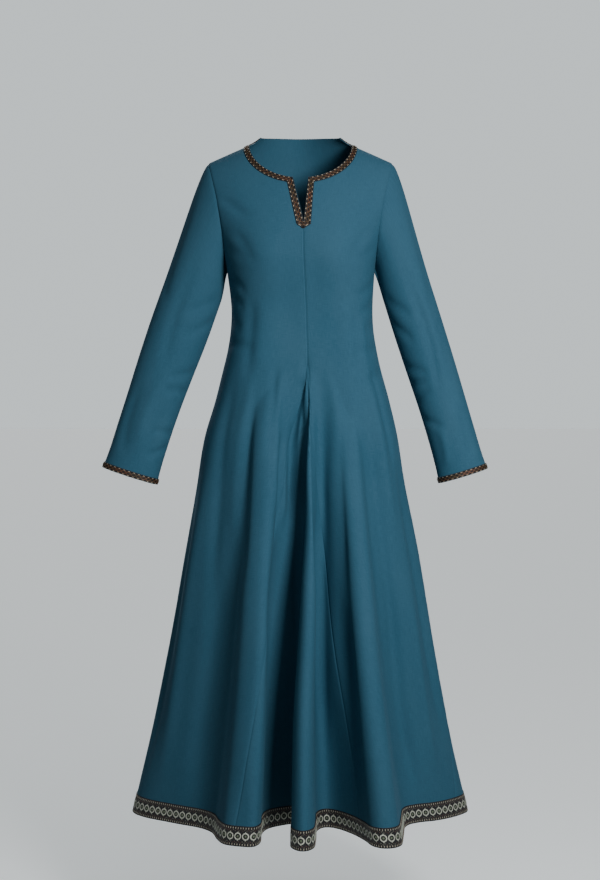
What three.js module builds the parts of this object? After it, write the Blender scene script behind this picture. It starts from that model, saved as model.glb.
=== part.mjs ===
// A long medieval style dress as it stands when worn: a hollow body of two front panels, a front gore and a
// one-piece back, two set-in sleeves, a narrow braid at the neck and cuffs and a wide ribbon at the hem.
// Millimetres. +X is the wearer's left, -Y is the front, +Z is up. The origin is midway between the two
// shoulder seams, at the height where they meet the neckline, which is where a wearer carries the dress.
import * as THREE from "three";

// Driving dimensions
const cloth = { wall: 2, seamGap: 0.3 };
const braid = { lift: 0.45, thickness: 1.4, cuffHeight: 11.5 };
const ribbon = { lift: 0.35, thickness: 1 };
const level = {
  hem: -1324,
  ribbonTop: -1288,
  goreTop: -442,
  seamFoot: -439,
  bodice: -270,
  bust: -230,
  ridge: 0,
};
const shoulder = { topX: 116.3, slope: 0.45, neckX: 106, round: 30, napeRise: 119, roll: 1.5 };
const neck = {
  edge: { halfWidth: 102, top: 4.5, frontDepth: 78.5, backHeight: 24 },
  braidEdge: { halfWidth: 112.5, top: 0.1, frontDepth: 84.5, backHeight: 18 },
  slit: {
    bottom: { x: 6, z: -161 },
    braidBottom: { x: 5, z: -176 },
    braidFoot: { out: 13.5, down: 6 },
    cornerX: 15.3,
    braidCornerX: 26,
  },
};
const bust = { x: 74, z: -228, swell: 9, width: 52, height: 62 };
const foldRise = 0.85;

// How far the folds of the gore lean towards +X between its top and its lower half, in degrees of bearing
const goreLean = [
  { level: -1324, lean: 0 },
  { level: -1080, lean: 0.3 },
  { level: -900, lean: 2.4 },
  { level: -744, lean: 3.8 },
  { level: -600, lean: 2.8 },
  { level: -442, lean: 0.4 },
];
const leanReach = { middle: 4, half: 16 };

// Smooth sections of the body: half width, how far the middle lies towards +X, depth in front of and behind
// the side line, and how square the front and the back are
const sections = [
  { level: -1324, half: 334, shift: 0, front: 150, back: 200, frontSquare: 0.1, backSquare: 0 },
  { level: -1138, half: 291, shift: 0, front: 143, back: 184, frontSquare: 0.14, backSquare: 0.02 },
  { level: -996, half: 264, shift: 0, front: 138, back: 171, frontSquare: 0.2, backSquare: 0.04 },
  { level: -842, half: 238, shift: 0, front: 132, back: 157, frontSquare: 0.27, backSquare: 0.06 },
  { level: -704, half: 214, shift: 0, front: 125, back: 143, frontSquare: 0.34, backSquare: 0.08 },
  { level: -664, half: 207.5, shift: 0, front: 123, back: 139, frontSquare: 0.36, backSquare: 0.09 },
  { level: -578, half: 193.5, shift: 1.2, front: 118, back: 130, frontSquare: 0.42, backSquare: 0.1 },
  { level: -504, half: 173.5, shift: 3.6, front: 112, back: 121, frontSquare: 0.46, backSquare: 0.12 },
  { level: -444, half: 157.5, shift: 3, front: 107, back: 112, frontSquare: 0.48, backSquare: 0.14 },
  { level: -404, half: 148.5, shift: 3.4, front: 103, back: 104, frontSquare: 0.48, backSquare: 0.16 },
  { level: -364, half: 142.5, shift: 3.2, front: 101, back: 98, frontSquare: 0.46, backSquare: 0.18 },
  { level: -320, half: 141, shift: 3, front: 104, back: 97, frontSquare: 0.42, backSquare: 0.2 },
  { level: -256, half: 146.5, shift: 1, front: 115, back: 103, frontSquare: 0.36, backSquare: 0.22 },
  { level: -230, half: 151, shift: 0, front: 119, back: 106, frontSquare: 0.33, backSquare: 0.24 },
  { level: -190, half: 162, shift: 0, front: 122, back: 107, frontSquare: 0.29, backSquare: 0.25 },
  { level: -150, half: 178, shift: 0, front: 122, back: 107, frontSquare: 0.25, backSquare: 0.25 },
  { level: -110, half: 193, shift: 0, front: 122, back: 107, frontSquare: 0.25, backSquare: 0.25 },
  { level: -70, half: 206, shift: 0, front: 122, back: 107, frontSquare: 0.25, backSquare: 0.25 },
  { level: -30, half: 216, shift: 0, front: 122, back: 107, frontSquare: 0.25, backSquare: 0.25 },
  { level: 0, half: 222, shift: 0, front: 122, back: 107, frontSquare: 0.25, backSquare: 0.25 },
];

// The hem seen from above: where the cloth at each bearing (degrees round from the front centre, towards +X)
// lies on the floor plan, and the level at which that part of the fold begins
const hemPlan = [
  { bearing: -93, x: -334.5, y: 9, start: -700 },
  { bearing: -68, x: -308, y: -53, start: -700 },
  { bearing: -54, x: -269, y: -82, start: -700 },
  { bearing: -42, x: -224, y: -112, start: -600 },
  { bearing: -35, x: -189, y: -136, start: -540 },
  { bearing: -31, x: -166, y: -168, start: -520 },
  { bearing: -28.5, x: -155, y: -210, start: -510 },
  { bearing: -25.5, x: -141, y: -243, start: -500 },
  { bearing: -21.5, x: -113, y: -258, start: -480 },
  { bearing: -17.5, x: -86, y: -260, start: -460 },
  { bearing: -15, x: -73, y: -232, start: -450 },
  { bearing: -13, x: -67, y: -186, start: -445 },
  { bearing: -9.5, x: -44, y: -138, start: -442 },
  { bearing: -5, x: -18, y: -106, start: -442 },
  { bearing: -1.5, x: -6, y: -130, start: -442 },
  { bearing: 0, x: -14, y: -205, start: -442 },
  { bearing: 1.5, x: -17, y: -262, start: -442 },
  { bearing: 3.5, x: 2, y: -290, start: -442 },
  { bearing: 6, x: 23, y: -270, start: -442 },
  { bearing: 8, x: 28, y: -215, start: -442 },
  { bearing: 9.5, x: 30, y: -158, start: -442 },
  { bearing: 12, x: 46, y: -130, start: -442 },
  { bearing: 15, x: 70, y: -138, start: -445 },
  { bearing: 18.5, x: 99, y: -176, start: -450 },
  { bearing: 21.5, x: 120, y: -220, start: -470 },
  { bearing: 24.5, x: 134, y: -258, start: -500 },
  { bearing: 28, x: 158, y: -272, start: -530 },
  { bearing: 31.5, x: 184, y: -252, start: -540 },
  { bearing: 33.5, x: 192, y: -195, start: -560 },
  { bearing: 36, x: 200, y: -128, start: -580 },
  { bearing: 41, x: 223, y: -98, start: -600 },
  { bearing: 51.5, x: 263, y: -80, start: -640 },
  { bearing: 71, x: 315, y: -38, start: -700 },
  { bearing: 90, x: 334, y: 2, start: -700 },
  { bearing: 101, x: 330, y: 44, start: -660 },
  { bearing: 110, x: 311, y: 80, start: -640 },
  { bearing: 117, x: 297, y: 118, start: -630 },
  { bearing: 122, x: 291, y: 156, start: -620 },
  { bearing: 127.5, x: 273, y: 180, start: -620 },
  { bearing: 133, x: 247, y: 176, start: -620 },
  { bearing: 138, x: 230, y: 150, start: -610 },
  { bearing: 143, x: 212, y: 140, start: -590 },
  { bearing: 149, x: 189, y: 158, start: -570 },
  { bearing: 154, x: 174, y: 202, start: -560 },
  { bearing: 158.5, x: 157, y: 244, start: -560 },
  { bearing: 163, x: 126, y: 262, start: -560 },
  { bearing: 167.5, x: 96, y: 248, start: -560 },
  { bearing: 171, x: 81, y: 210, start: -560 },
  { bearing: 175, x: 60, y: 184, start: -550 },
  { bearing: 180, x: 28, y: 180, start: -540 },
  { bearing: 184.5, x: 2, y: 204, start: -540 },
  { bearing: 188, x: -13, y: 246, start: -550 },
  { bearing: 192.5, x: -42, y: 270, start: -560 },
  { bearing: 197, x: -73, y: 260, start: -570 },
  { bearing: 200.5, x: -88, y: 224, start: -570 },
  { bearing: 205, x: -108, y: 190, start: -560 },
  { bearing: 211, x: -142, y: 174, start: -560 },
  { bearing: 216, x: -170, y: 186, start: -570 },
  { bearing: 220.5, x: -188, y: 214, start: -580 },
  { bearing: 226, x: -214, y: 225, start: -600 },
  { bearing: 231, x: -239, y: 204, start: -620 },
  { bearing: 235.5, x: -252, y: 166, start: -640 },
  { bearing: 241, x: -275, y: 132, start: -660 },
  { bearing: 248, x: -305, y: 103, start: -680 },
  { bearing: 257, x: -326, y: 60, start: -700 },
];

// Bearings of the seams at each level
const goreSeams = [
  { level: -1324, right: -23.5, left: 20.5 },
  { level: -1080, right: -19.2, left: 18.2 },
  { level: -870, right: -15, left: 15.4 },
  { level: -760, right: -13.2, left: 13.4 },
  { level: -650, right: -10, left: 11.4 },
  { level: -560, right: -5.4, left: 9 },
  { level: -500, right: -1, left: 6.6 },
  { level: -442, right: 3.2, left: 4.6 },
];
const sideSeams = [
  { level: -1324, right: -95, left: 68 },
  { level: -1100, right: -94, left: 86 },
  { level: -900, right: -92, left: 90 },
  { level: -252, right: -90, left: 90 },
];

// Front view of the armhole seam, from the underarm to the shoulder, on the front and on the back
const armhole = [
  { z: -252, front: 146.5, back: 146.5 },
  { z: -240, front: 148.5, back: 149.5 },
  { z: -222, front: 150, back: 152.5 },
  { z: -198, front: 152, back: 156 },
  { z: -172, front: 155, back: 160 },
  { z: -146, front: 159, back: 164.5 },
  { z: -120, front: 163.5, back: 168.5 },
  { z: -96, front: 168, back: 172.5 },
  { z: -75, front: 173, back: 176.5 },
  { z: -58, front: 177, back: 179.5 },
  { z: -46, front: 180, back: 181.5 },
  { z: -38, front: 182, back: 182.5 },
  { z: -31, front: 184, back: 184 },
];

// Sleeve sections below the cap: centre, half width across the front view, half depth
const sleeves = {
  left: {
    side: 1,
    lean: 17,
    stations: [
      { x: 214, y: 0, z: -292, half: 50, depth: 54 },
      { x: 237, y: -2, z: -366, half: 50, depth: 52 },
      { x: 260, y: -9, z: -440, half: 49, depth: 50 },
      { x: 280, y: -18, z: -506, half: 47.5, depth: 47 },
      { x: 297, y: -28, z: -566, half: 47, depth: 44 },
      { x: 311, y: -36, z: -618, half: 47.5, depth: 41 },
      { x: 320.5, y: -42, z: -654, half: 49.5, depth: 39 },
    ],
  },
  right: {
    side: -1,
    lean: 18,
    stations: [
      { x: -217, y: 0, z: -292, half: 60, depth: 53 },
      { x: -243, y: -2, z: -366, half: 60, depth: 51 },
      { x: -269, y: -9, z: -440, half: 57.5, depth: 49 },
      { x: -291, y: -18, z: -506, half: 55, depth: 46 },
      { x: -310, y: -28, z: -566, half: 54, depth: 44 },
      { x: -325.5, y: -36, z: -618, half: 54, depth: 41 },
      { x: -336.5, y: -42, z: -654, half: 56, depth: 39 },
    ],
  },
};
const cap = { topPull: 17, underPull: 12, ringPull: 0.42, rows: 5, crowding: 1.35 };

const radians = THREE.MathUtils.degToRad;
const degrees = THREE.MathUtils.radToDeg;
const clamp = THREE.MathUtils.clamp;
const lerp = THREE.MathUtils.lerp;

// Slope of a table's column at row i, from its neighbours
function slopeAt(rows, key, column, i) {
  const before = rows[Math.max(i - 1, 0)];
  const after = rows[Math.min(i + 1, rows.length - 1)];
  return (after[column] - before[column]) / (after[key] - before[key]);
}

// Smooth reading of a table's column between its rows, sorted by key
function read(rows, key, column, at) {
  const value = clamp(at, rows[0][key], rows[rows.length - 1][key]);
  let i = 0;
  while (i < rows.length - 2 && rows[i + 1][key] < value) i += 1;
  const a = rows[i];
  const b = rows[i + 1];
  const span = b[key] - a[key];
  const t = (value - a[key]) / span;
  const t2 = t * t;
  const t3 = t2 * t;
  return (
    (2 * t3 - 3 * t2 + 1) * a[column] +
    (t3 - 2 * t2 + t) * span * slopeAt(rows, key, column, i) +
    (3 * t2 - 2 * t3) * b[column] +
    (t3 - t2) * span * slopeAt(rows, key, column, i + 1)
  );
}

// Height of the shoulder line at x, where it carries on up the neck inside the neckline
function ridgeHeight(x, onBack) {
  const reach = Math.hypot(x, shoulder.round);
  const line = shoulder.slope * (shoulder.topX - reach);
  if (!onBack || reach > shoulder.neckX) return line;
  return line + shoulder.napeRise * (1 - reach / shoulder.neckX) ** 2;
}

const bustToRidge = level.ridge - level.bust;

// Level to height: above the bust the levels stretch so that level 0 is the shoulder line
function heightOf(x, at, onBack) {
  if (at <= level.bust) return at;
  return level.bust + ((at - level.bust) * (ridgeHeight(x, onBack) - level.bust)) / bustToRidge;
}

// The smooth body surface, without folds
function smoothPoint(bearing, at) {
  const angle = radians(bearing);
  const onBack = Math.cos(angle) < 0;
  const share = clamp((at - level.bust) / bustToRidge, 0, 1);
  const roll = Math.sqrt(Math.max(0, 1 - share ** shoulder.roll));
  const depth = read(sections, "level", onBack ? "back" : "front", at) * roll;
  const square = read(sections, "level", onBack ? "backSquare" : "frontSquare", at);
  const x = read(sections, "level", "shift", at) + read(sections, "level", "half", at) * Math.sin(angle);
  const y = -depth * Math.cos(angle) * (1 + square * Math.sin(angle) ** 2);
  const z = heightOf(x, at, onBack);
  const swell = onBack
    ? 0
    : bust.swell *
      Math.exp(-(((Math.abs(x) - bust.x) / bust.width) ** 2)) *
      Math.exp(-(((z - bust.z) / bust.height) ** 2)) *
      Math.cos(angle);
  return new THREE.Vector3(x, y - swell, z);
}

// How far each row of the hem plan lies from the smooth hem
const foldRows = hemPlan.map((row) => {
  const base = smoothPoint(row.bearing, level.hem);
  return { bearing: row.bearing, dx: row.x - base.x, dy: row.y - base.y, start: row.start };
});
const turn = 360;
const wrapRows = 3; // repeated past each end, so that the folds join up round the back
const foldTable = [
  ...foldRows.slice(-wrapRows).map((row) => ({ ...row, bearing: row.bearing - turn })),
  ...foldRows,
  ...foldRows.slice(0, wrapRows).map((row) => ({ ...row, bearing: row.bearing + turn })),
];

// The body surface with its folds, which widen from their start down to the hem
function bodyPoint(bearing, at) {
  const point = smoothPoint(bearing, at);
  const first = foldRows[0].bearing;
  const aside = clamp(Math.abs(bearing - leanReach.middle) / leanReach.half, 0, 1);
  const leaned = bearing - read(goreLean, "level", "lean", at) * (1 - aside ** 2) ** 2;
  const wrapped = first + ((((leaned - first) % turn) + turn) % turn);
  const start = read(foldTable, "bearing", "start", wrapped);
  const share = clamp((start - at) / (start - level.hem), 0, 1) ** foldRise;
  point.x += share * read(foldTable, "bearing", "dx", wrapped);
  point.y += share * read(foldTable, "bearing", "dy", wrapped);
  return point;
}

// A point of the cloth with its outward normal
function bodyVertex(place) {
  const step = { bearing: 0.05, level: 0.05 };
  const around = bodyPoint(place.bearing + step.bearing, place.level).sub(
    bodyPoint(place.bearing - step.bearing, place.level),
  );
  const up = bodyPoint(place.bearing, Math.min(place.level + step.level, level.ridge)).sub(
    bodyPoint(place.bearing, place.level - step.level),
  );
  return { point: bodyPoint(place.bearing, place.level), normal: around.cross(up).normalize() };
}

// The place on the surface that shows at x and z in a front or back view
function placeAt(x, z, onBack) {
  let at = z;
  if (z > level.bust) {
    at = level.bust + ((z - level.bust) * bustToRidge) / (ridgeHeight(x, onBack) - level.bust);
  }
  at = Math.min(at, level.ridge);
  const bearing = degrees(Math.asin(clamp(x / read(sections, "level", "half", at), -1, 1)));
  return { bearing: onBack ? (x < 0 ? -180 : 180) - bearing : bearing, level: at };
}

// A row of vertices from one place to another, evenly spaced along the cloth
function clothRow(from, to, count) {
  const fine = 48;
  const places = [];
  const lengths = [0];
  for (let i = 0; i <= fine; i += 1) {
    places.push({
      bearing: lerp(from.bearing, to.bearing, i / fine),
      level: lerp(from.level, to.level, i / fine),
    });
    if (i > 0) {
      const here = bodyPoint(places[i].bearing, places[i].level);
      const last = bodyPoint(places[i - 1].bearing, places[i - 1].level);
      lengths.push(lengths[i - 1] + here.distanceTo(last));
    }
  }
  const row = [];
  for (let k = 0; k <= count; k += 1) {
    const wanted = (lengths[fine] * k) / count;
    let i = 1;
    while (i < fine && lengths[i] < wanted) i += 1;
    const t = clamp((wanted - lengths[i - 1]) / (lengths[i] - lengths[i - 1] || 1), 0, 1);
    row.push(
      bodyVertex({
        bearing: lerp(places[i - 1].bearing, places[i].bearing, t),
        level: lerp(places[i - 1].level, places[i].level, t),
      }),
    );
  }
  return row;
}

// A patch of cloth: shared vertices and the triangles between them
class Patch {
  constructor() {
    this.vertices = [];
    this.triangles = [];
    this.known = new Map();
  }

  index(vertex) {
    const key = vertex.point.toArray().map((value) => Math.round(value * 500)).join();
    if (!this.known.has(key)) {
      this.known.set(key, this.vertices.length);
      this.vertices.push({ point: vertex.point.clone(), normal: vertex.normal.clone() });
    }
    return this.known.get(key);
  }

  triangle(a, b, c, flip) {
    const corners = [this.index(a), this.index(b), this.index(c)];
    if (new Set(corners).size === 3) this.triangles.push(flip ? corners.reverse() : corners);
  }

  // Joins a lower row to the row above it, whatever their counts. Rows run towards greater bearings, or
  // towards lesser ones with flip. Even squares are cut from lower right to upper left, or the other way.
  zip(lower, upper, flip, otherCut) {
    let i = 0;
    let j = 0;
    const lowerSteps = lower.length - 1;
    const upperSteps = upper.length - 1;
    while (i < lowerSteps || j < upperSteps) {
      const lowerNext = i < lowerSteps ? (i + 1) / lowerSteps : Infinity;
      const upperNext = j < upperSteps ? (j + 1) / upperSteps : Infinity;
      const lowerFirst = otherCut ? lowerNext < upperNext : lowerNext <= upperNext;
      if (lowerFirst) {
        this.triangle(lower[i], lower[i + 1], upper[j], flip);
        i += 1;
      } else {
        this.triangle(lower[i], upper[j + 1], upper[j], flip);
        j += 1;
      }
    }
  }

  zipAll(rows, flip, otherCutRow) {
    for (let i = 0; i < rows.length - 1; i += 1) this.zip(rows[i], rows[i + 1], flip, i === otherCutRow);
  }

  // The boundary as directed edges, each with its triangle's side to the left
  boundary() {
    const edges = new Map();
    for (const [a, b, c] of this.triangles) {
      for (const [p, q] of [[a, b], [b, c], [c, a]]) {
        if (edges.has(`${q},${p}`)) edges.delete(`${q},${p}`);
        else edges.set(`${p},${q}`, [p, q]);
      }
    }
    return [...edges.values()];
  }

  // Draws the edge in by a distance along the cloth, which leaves the gap at the seams
  drawIn(distance) {
    const moves = new Map();
    for (const [p, q] of this.boundary()) {
      const a = this.vertices[p];
      const b = this.vertices[q];
      const along = b.point.clone().sub(a.point).normalize();
      for (const [i, vertex] of [[p, a], [q, b]]) {
        const inward = vertex.normal.clone().cross(along).normalize();
        if (!moves.has(i)) moves.set(i, []);
        moves.get(i).push(inward);
      }
    }
    for (const [i, inwards] of moves) {
      const mean = inwards.reduce((sum, v) => sum.add(v), new THREE.Vector3()).normalize();
      const spread = Math.max(0.4, mean.dot(inwards[0]));
      this.vertices[i].point.addScaledVector(mean, distance / spread);
    }
    return this;
  }

  isBelow(p, q) {
    const step = this.vertices[q].point.clone().sub(this.vertices[p].point);
    return step.z > 1e-3 || (Math.abs(step.z) <= 1e-3 && step.x > 0);
  }

  // A closed wall between two offsets from the patch, along its normals
  wall(inner, outer) {
    const count = this.vertices.length;
    const positions = [];
    for (const offset of [outer, inner]) {
      for (const { point, normal } of this.vertices) {
        positions.push(...point.clone().addScaledVector(normal, offset).toArray());
      }
    }
    const faces = [];
    for (const [a, b, c] of this.triangles) {
      faces.push(a, b, c);
      faces.push(a + count, c + count, b + count);
    }
    for (const [p, q] of this.boundary()) {
      // Rims on both sides of a seam split the same way, so that the gap between them stays even
      if (this.isBelow(p, q)) {
        faces.push(q, p, q + count);
        faces.push(p, p + count, q + count);
      } else {
        faces.push(q, p, p + count);
        faces.push(q, p + count, q + count);
      }
    }
    const geometry = new THREE.BufferGeometry();
    geometry.setAttribute("position", new THREE.Float32BufferAttribute(positions, 3));
    geometry.setIndex(faces);
    geometry.computeVertexNormals();
    return geometry;
  }
}

// Levels of the rows from the hem to the bodice, with the hem ribbon's top among them
const skirtLevels = [
  level.hem, level.ribbonTop, -1225, -1150, -1075, -1000, -925, -850, -780, -710, -645, -590, -540, -490,
  level.goreTop, level.seamFoot, -400, -355, -312, level.bodice,
];
const goreRowCount = skirtLevels.indexOf(level.goreTop) + 1;

// How many steps a row of a piece takes: more near the hem, where the folds are deep
function stepsAt(at, hemSteps, bodiceSteps) {
  const share = clamp((at - level.hem) / (level.goreTop - level.hem), 0, 1);
  return Math.round(lerp(hemSteps, bodiceSteps, share));
}

// Angles up the neckline, the share of the slit at its middle row, and the row at the slit's foot
const neckAngles = [70, 57, 45, 34, 24, 15, 7, 0];
const slitStep = 0.5;
const slitRow = 3;
const centreRise = -222;

function neckPlace(edge, angle, side, onBack) {
  const radius = radians(angle);
  const x = side * edge.halfWidth * Math.cos(radius);
  const reach = onBack ? edge.backHeight : -edge.frontDepth;
  return placeAt(x, edge.top + reach * Math.sin(radius), onBack);
}

function cornerPlace(edge, cornerX, side) {
  const angle = degrees(Math.acos(cornerX / edge.halfWidth));
  return neckPlace(edge, angle, side, false);
}

function between(a, b, share) {
  return { bearing: lerp(a.bearing, b.bearing, share), level: lerp(a.level, b.level, share) };
}

// Places where a front panel's upper rows begin: up the centre seam, the slit and the neckline. The second
// list gives the braid's far edge in the same rows.
function frontEdges(side) {
  const { slit } = neck;
  const braidBottom = placeAt(slit.braidBottom.x, slit.braidBottom.z, false);
  const bottom = placeAt(slit.bottom.x, slit.bottom.z, false);
  const corner = cornerPlace(neck.edge, slit.cornerX, side);
  const braidCorner = cornerPlace(neck.braidEdge, slit.braidCornerX, side);
  const footX = slit.bottom.x + side * slit.braidFoot.out;
  const braidFoot = placeAt(footX, slit.bottom.z - slit.braidFoot.down, false);
  const inner = [
    { bearing: centreBearing(level.bodice), level: level.bodice },
    { bearing: centreBearing(centreRise), level: centreRise },
    braidBottom,
    bottom,
    between(bottom, corner, slitStep),
    corner,
    ...neckAngles.map((angle) => neckPlace(neck.edge, angle, side, false)),
  ];
  const second = [
    null,
    null,
    null,
    braidFoot,
    between(braidFoot, braidCorner, slitStep),
    braidCorner,
    ...neckAngles.map((angle) => neckPlace(neck.braidEdge, angle, side, false)),
  ];
  return { inner, second };
}

// The centre seam leans a little from the slit's foot to the top of the gore
function centreBearing(at) {
  const foot = placeAt(neck.slit.braidBottom.x, neck.slit.braidBottom.z, false);
  const top = (goreSeams[goreSeams.length - 1].left + goreSeams[goreSeams.length - 1].right) / 2;
  const share = clamp((at - level.goreTop) / (foot.level - level.goreTop), 0, 1);
  return lerp(top, foot.bearing, share);
}

// Levels of the back's rows at its centre line, below the neckline
const backCentreLevels = [level.bodice, -245, -215, -185, -158];
const napeRow = backCentreLevels.length + 1;
const napeBraidAngle = 74;

// Places where a half back's upper rows begin: up the centre line and along the neckline
function backEdges(side) {
  const centre = side < 0 ? -180 : 180;
  const braidMiddle = { ...neckPlace(neck.braidEdge, 90, side, true), bearing: centre };
  const middle = { ...neckPlace(neck.edge, 90, side, true), bearing: centre };
  const angles = neckAngles.slice(1);
  return {
    inner: [
      ...backCentreLevels.map((at) => ({ bearing: centre, level: at })),
      braidMiddle,
      middle,
      ...angles.map((angle) => neckPlace(neck.edge, angle, side, true)),
    ],
    second: [
      ...backCentreLevels.map(() => null),
      null,
      neckPlace(neck.braidEdge, napeBraidAngle, side, true),
      ...angles.map((angle) => neckPlace(neck.braidEdge, angle, side, true)),
    ],
  };
}

// Places up the armhole, one for each upper row but the first, which ends on the side seam
function armholePlaces(side, onBack) {
  const column = onBack ? "back" : "front";
  return armhole.map((row) => placeAt(side * row[column], row.z, onBack));
}

const bodiceSteps = 11;

// One upper row: from the centre or neck edge, past the braid's far edge, to the armhole
function upperRow(inner, second, outer, steps) {
  if (!second) return clothRow(inner, outer, steps);
  return [bodyVertex(inner), ...clothRow(second, outer, steps - 1)];
}

function upperRows(edges, side, onBack) {
  const outer = [{ bearing: side * 90, level: level.bodice }, ...armholePlaces(side, onBack)];
  return edges.inner.map((inner, i) => upperRow(inner, edges.second[i], outer[i], bodiceSteps));
}

// Front panel: from the gore or centre seam to the side seam, from the hem to the shoulder
function frontRows(side) {
  const column = side < 0 ? "right" : "left";
  const lower = skirtLevels.slice(0, -1).map((at) => {
    const inner = at > level.goreTop ? centreBearing(at) : read(goreSeams, "level", column, at);
    const from = { bearing: inner, level: at };
    const to = { bearing: read(sideSeams, "level", column, at), level: at };
    return clothRow(from, to, stepsAt(at, 26, bodiceSteps));
  });
  return { lower, upper: upperRows(frontEdges(side), side, false) };
}

const front = { left: frontRows(1), right: frontRows(-1) };

function frontPanel(side) {
  const { lower, upper } = side < 0 ? front.right : front.left;
  const patch = new Patch();
  patch.zipAll([...lower, ...upper], side < 0, lower.length + slitRow - 1);
  return patch;
}

// Front gore: a wedge between the two front panels, from its top to the hem
const goreRows = skirtLevels.slice(0, goreRowCount).map((at) => {
  const from = { bearing: read(goreSeams, "level", "right", at), level: at };
  const to = { bearing: read(goreSeams, "level", "left", at), level: at };
  return clothRow(from, to, stepsAt(at, 46, 2));
});

// Back: one piece from side seam to side seam, in two halves that share the centre line
function backHalf(side) {
  const column = side < 0 ? "right" : "left";
  const lower = skirtLevels.slice(0, -1).map((at) => {
    const from = { bearing: side * 180, level: at };
    const to = { bearing: read(sideSeams, "level", column, at), level: at };
    return clothRow(from, to, stepsAt(at, 38, bodiceSteps));
  });
  return { lower, upper: upperRows(backEdges(side), side, true) };
}

const back = { left: backHalf(1), right: backHalf(-1) };

function backPanel() {
  const patch = new Patch();
  for (const { lower, upper } of [back.left, back.right]) {
    patch.zipAll([...lower, ...upper], upper === back.left.upper, lower.length + napeRow - 1);
  }
  return patch;
}

// Armhole seam as a loop: from the shoulder down the front to the underarm and up the back
function armholeLoop(side) {
  const frontUpper = (side < 0 ? front.right : front.left).upper;
  const backUpper = (side < 0 ? back.right : back.left).upper;
  const last = (row) => row[row.length - 1];
  const down = frontUpper.slice(1).map(last).reverse();
  const up = backUpper.slice(1).map(last).slice(1, -1);
  return { loop: [...down, ...up], frontCount: down.length };
}

// Angle round the sleeve of each armhole vertex: 0 at the shoulder, 180 at the underarm
function loopAngles({ loop, frontCount }) {
  const lengths = [0];
  for (let i = 1; i <= loop.length; i += 1) {
    lengths.push(lengths[i - 1] + loop[i % loop.length].point.distanceTo(loop[i - 1].point));
  }
  const under = frontCount - 1;
  return loop.map((_, i) =>
    i <= under
      ? (180 * lengths[i]) / lengths[under]
      : 180 + (180 * (lengths[i] - lengths[under])) / (lengths[loop.length] - lengths[under]),
  );
}

// A point of the arm's section at a station number, whole or between two
function armPoint(sleeve, angle, at) {
  const rows = sleeve.stations.map((row, i) => ({ ...row, step: i }));
  const column = (name) => read(rows, "step", name, at);
  const lean = radians(sleeve.lean);
  const out = column("half") * Math.cos(radians(angle));
  const forward = column("depth") * Math.sin(radians(angle));
  return new THREE.Vector3(
    column("x") + sleeve.side * Math.cos(lean) * out,
    column("y") - forward,
    column("z") + Math.sin(lean) * out,
  );
}

// A point of the sleeve's cap, which leaves the armhole outwards and turns down into the arm
function capPoint(sleeve, root, angle, share) {
  const around = Math.cos(radians(angle));
  const out = sleeve.side * (0.7 + 0.2 * around);
  const leave = new THREE.Vector3(out, 0, 0.2 * around - 0.65).normalize();
  const under = (1 - around) / 2;
  const ring = armPoint(sleeve, angle, 0);
  const downArm = armPoint(sleeve, angle, 0.2).sub(ring).normalize();
  const start = root.point
    .clone()
    .addScaledVector(leave, cloth.seamGap / 2)
    .addScaledVector(root.normal, cloth.seamGap * under ** 2);
  const reach = start.distanceTo(ring);
  const curve = new THREE.CubicBezierCurve3(
    start,
    start.clone().addScaledVector(leave, lerp(cap.topPull, cap.underPull, under)),
    ring.clone().addScaledVector(downArm, -cap.ringPull * reach),
    ring,
  );
  return curve.getPoint(share);
}

// Sleeve rows from the armhole over the cap and down the arm, with the braid's far edge next to last
function sleeveRows(sleeve) {
  const armholeEdge = armholeLoop(sleeve.side);
  const angles = loopAngles(armholeEdge);
  const count = armholeEdge.loop.length;
  const lastStation = sleeve.stations.length - 1;
  const cuffStep = braid.cuffHeight / (sleeve.stations[lastStation - 1].z - sleeve.stations[lastStation].z);
  const cuffLevel = lastStation - cuffStep;
  const shares = Array.from({ length: cap.rows }, (_, i) => (i / cap.rows) ** cap.crowding);
  const stations = [...sleeve.stations.keys()].slice(0, -1);
  const grid = [
    ...shares.map((share) =>
      armholeEdge.loop.map((root, k) => capPoint(sleeve, root, angles[k], share)),
    ),
    ...[...stations, cuffLevel, lastStation].map((at) =>
      angles.map((angle) => armPoint(sleeve, angle, at)),
    ),
  ];
  const rows = grid.map((points, i) =>
    points.map((point, k) => {
      const above = grid[Math.max(i - 1, 0)][k];
      const below = grid[Math.min(i + 1, grid.length - 1)][k];
      const along = points[(k + 1) % count].clone().sub(points[(k + count - 1) % count]);
      const normal = along.cross(below.clone().sub(above)).multiplyScalar(sleeve.side).normalize();
      if (i === 0) {
        const under = (1 - Math.cos(radians(angles[k]))) / 2;
        normal.lerp(armholeEdge.loop[k].normal, 1 - under).normalize();
      }
      return { point, normal };
    }),
  );
  return rows.map((row) => [...row, row[0]]);
}

function sleevePatch(rows, side) {
  const patch = new Patch();
  patch.zipAll([...rows].reverse(), side > 0);
  return patch;
}

const sleeveGrid = { left: sleeveRows(sleeves.left), right: sleeveRows(sleeves.right) };

// Braid round the neck and slit, over the first strip of each panel's rows
function neckBraid() {
  const patch = new Patch();
  const bands = [
    { upper: front.left.upper, start: slitRow, flip: false },
    { upper: front.right.upper, start: slitRow, flip: true },
    { upper: back.left.upper, start: napeRow, flip: true },
    { upper: back.right.upper, start: napeRow, flip: false },
  ];
  for (const { upper, start, flip } of bands) {
    const rows = upper.slice(start);
    const far = [upper[start - 1][0], ...rows.map((row) => row[1])];
    patch.zip(far, rows.map((row) => row[0]), flip);
  }
  return patch;
}

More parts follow.
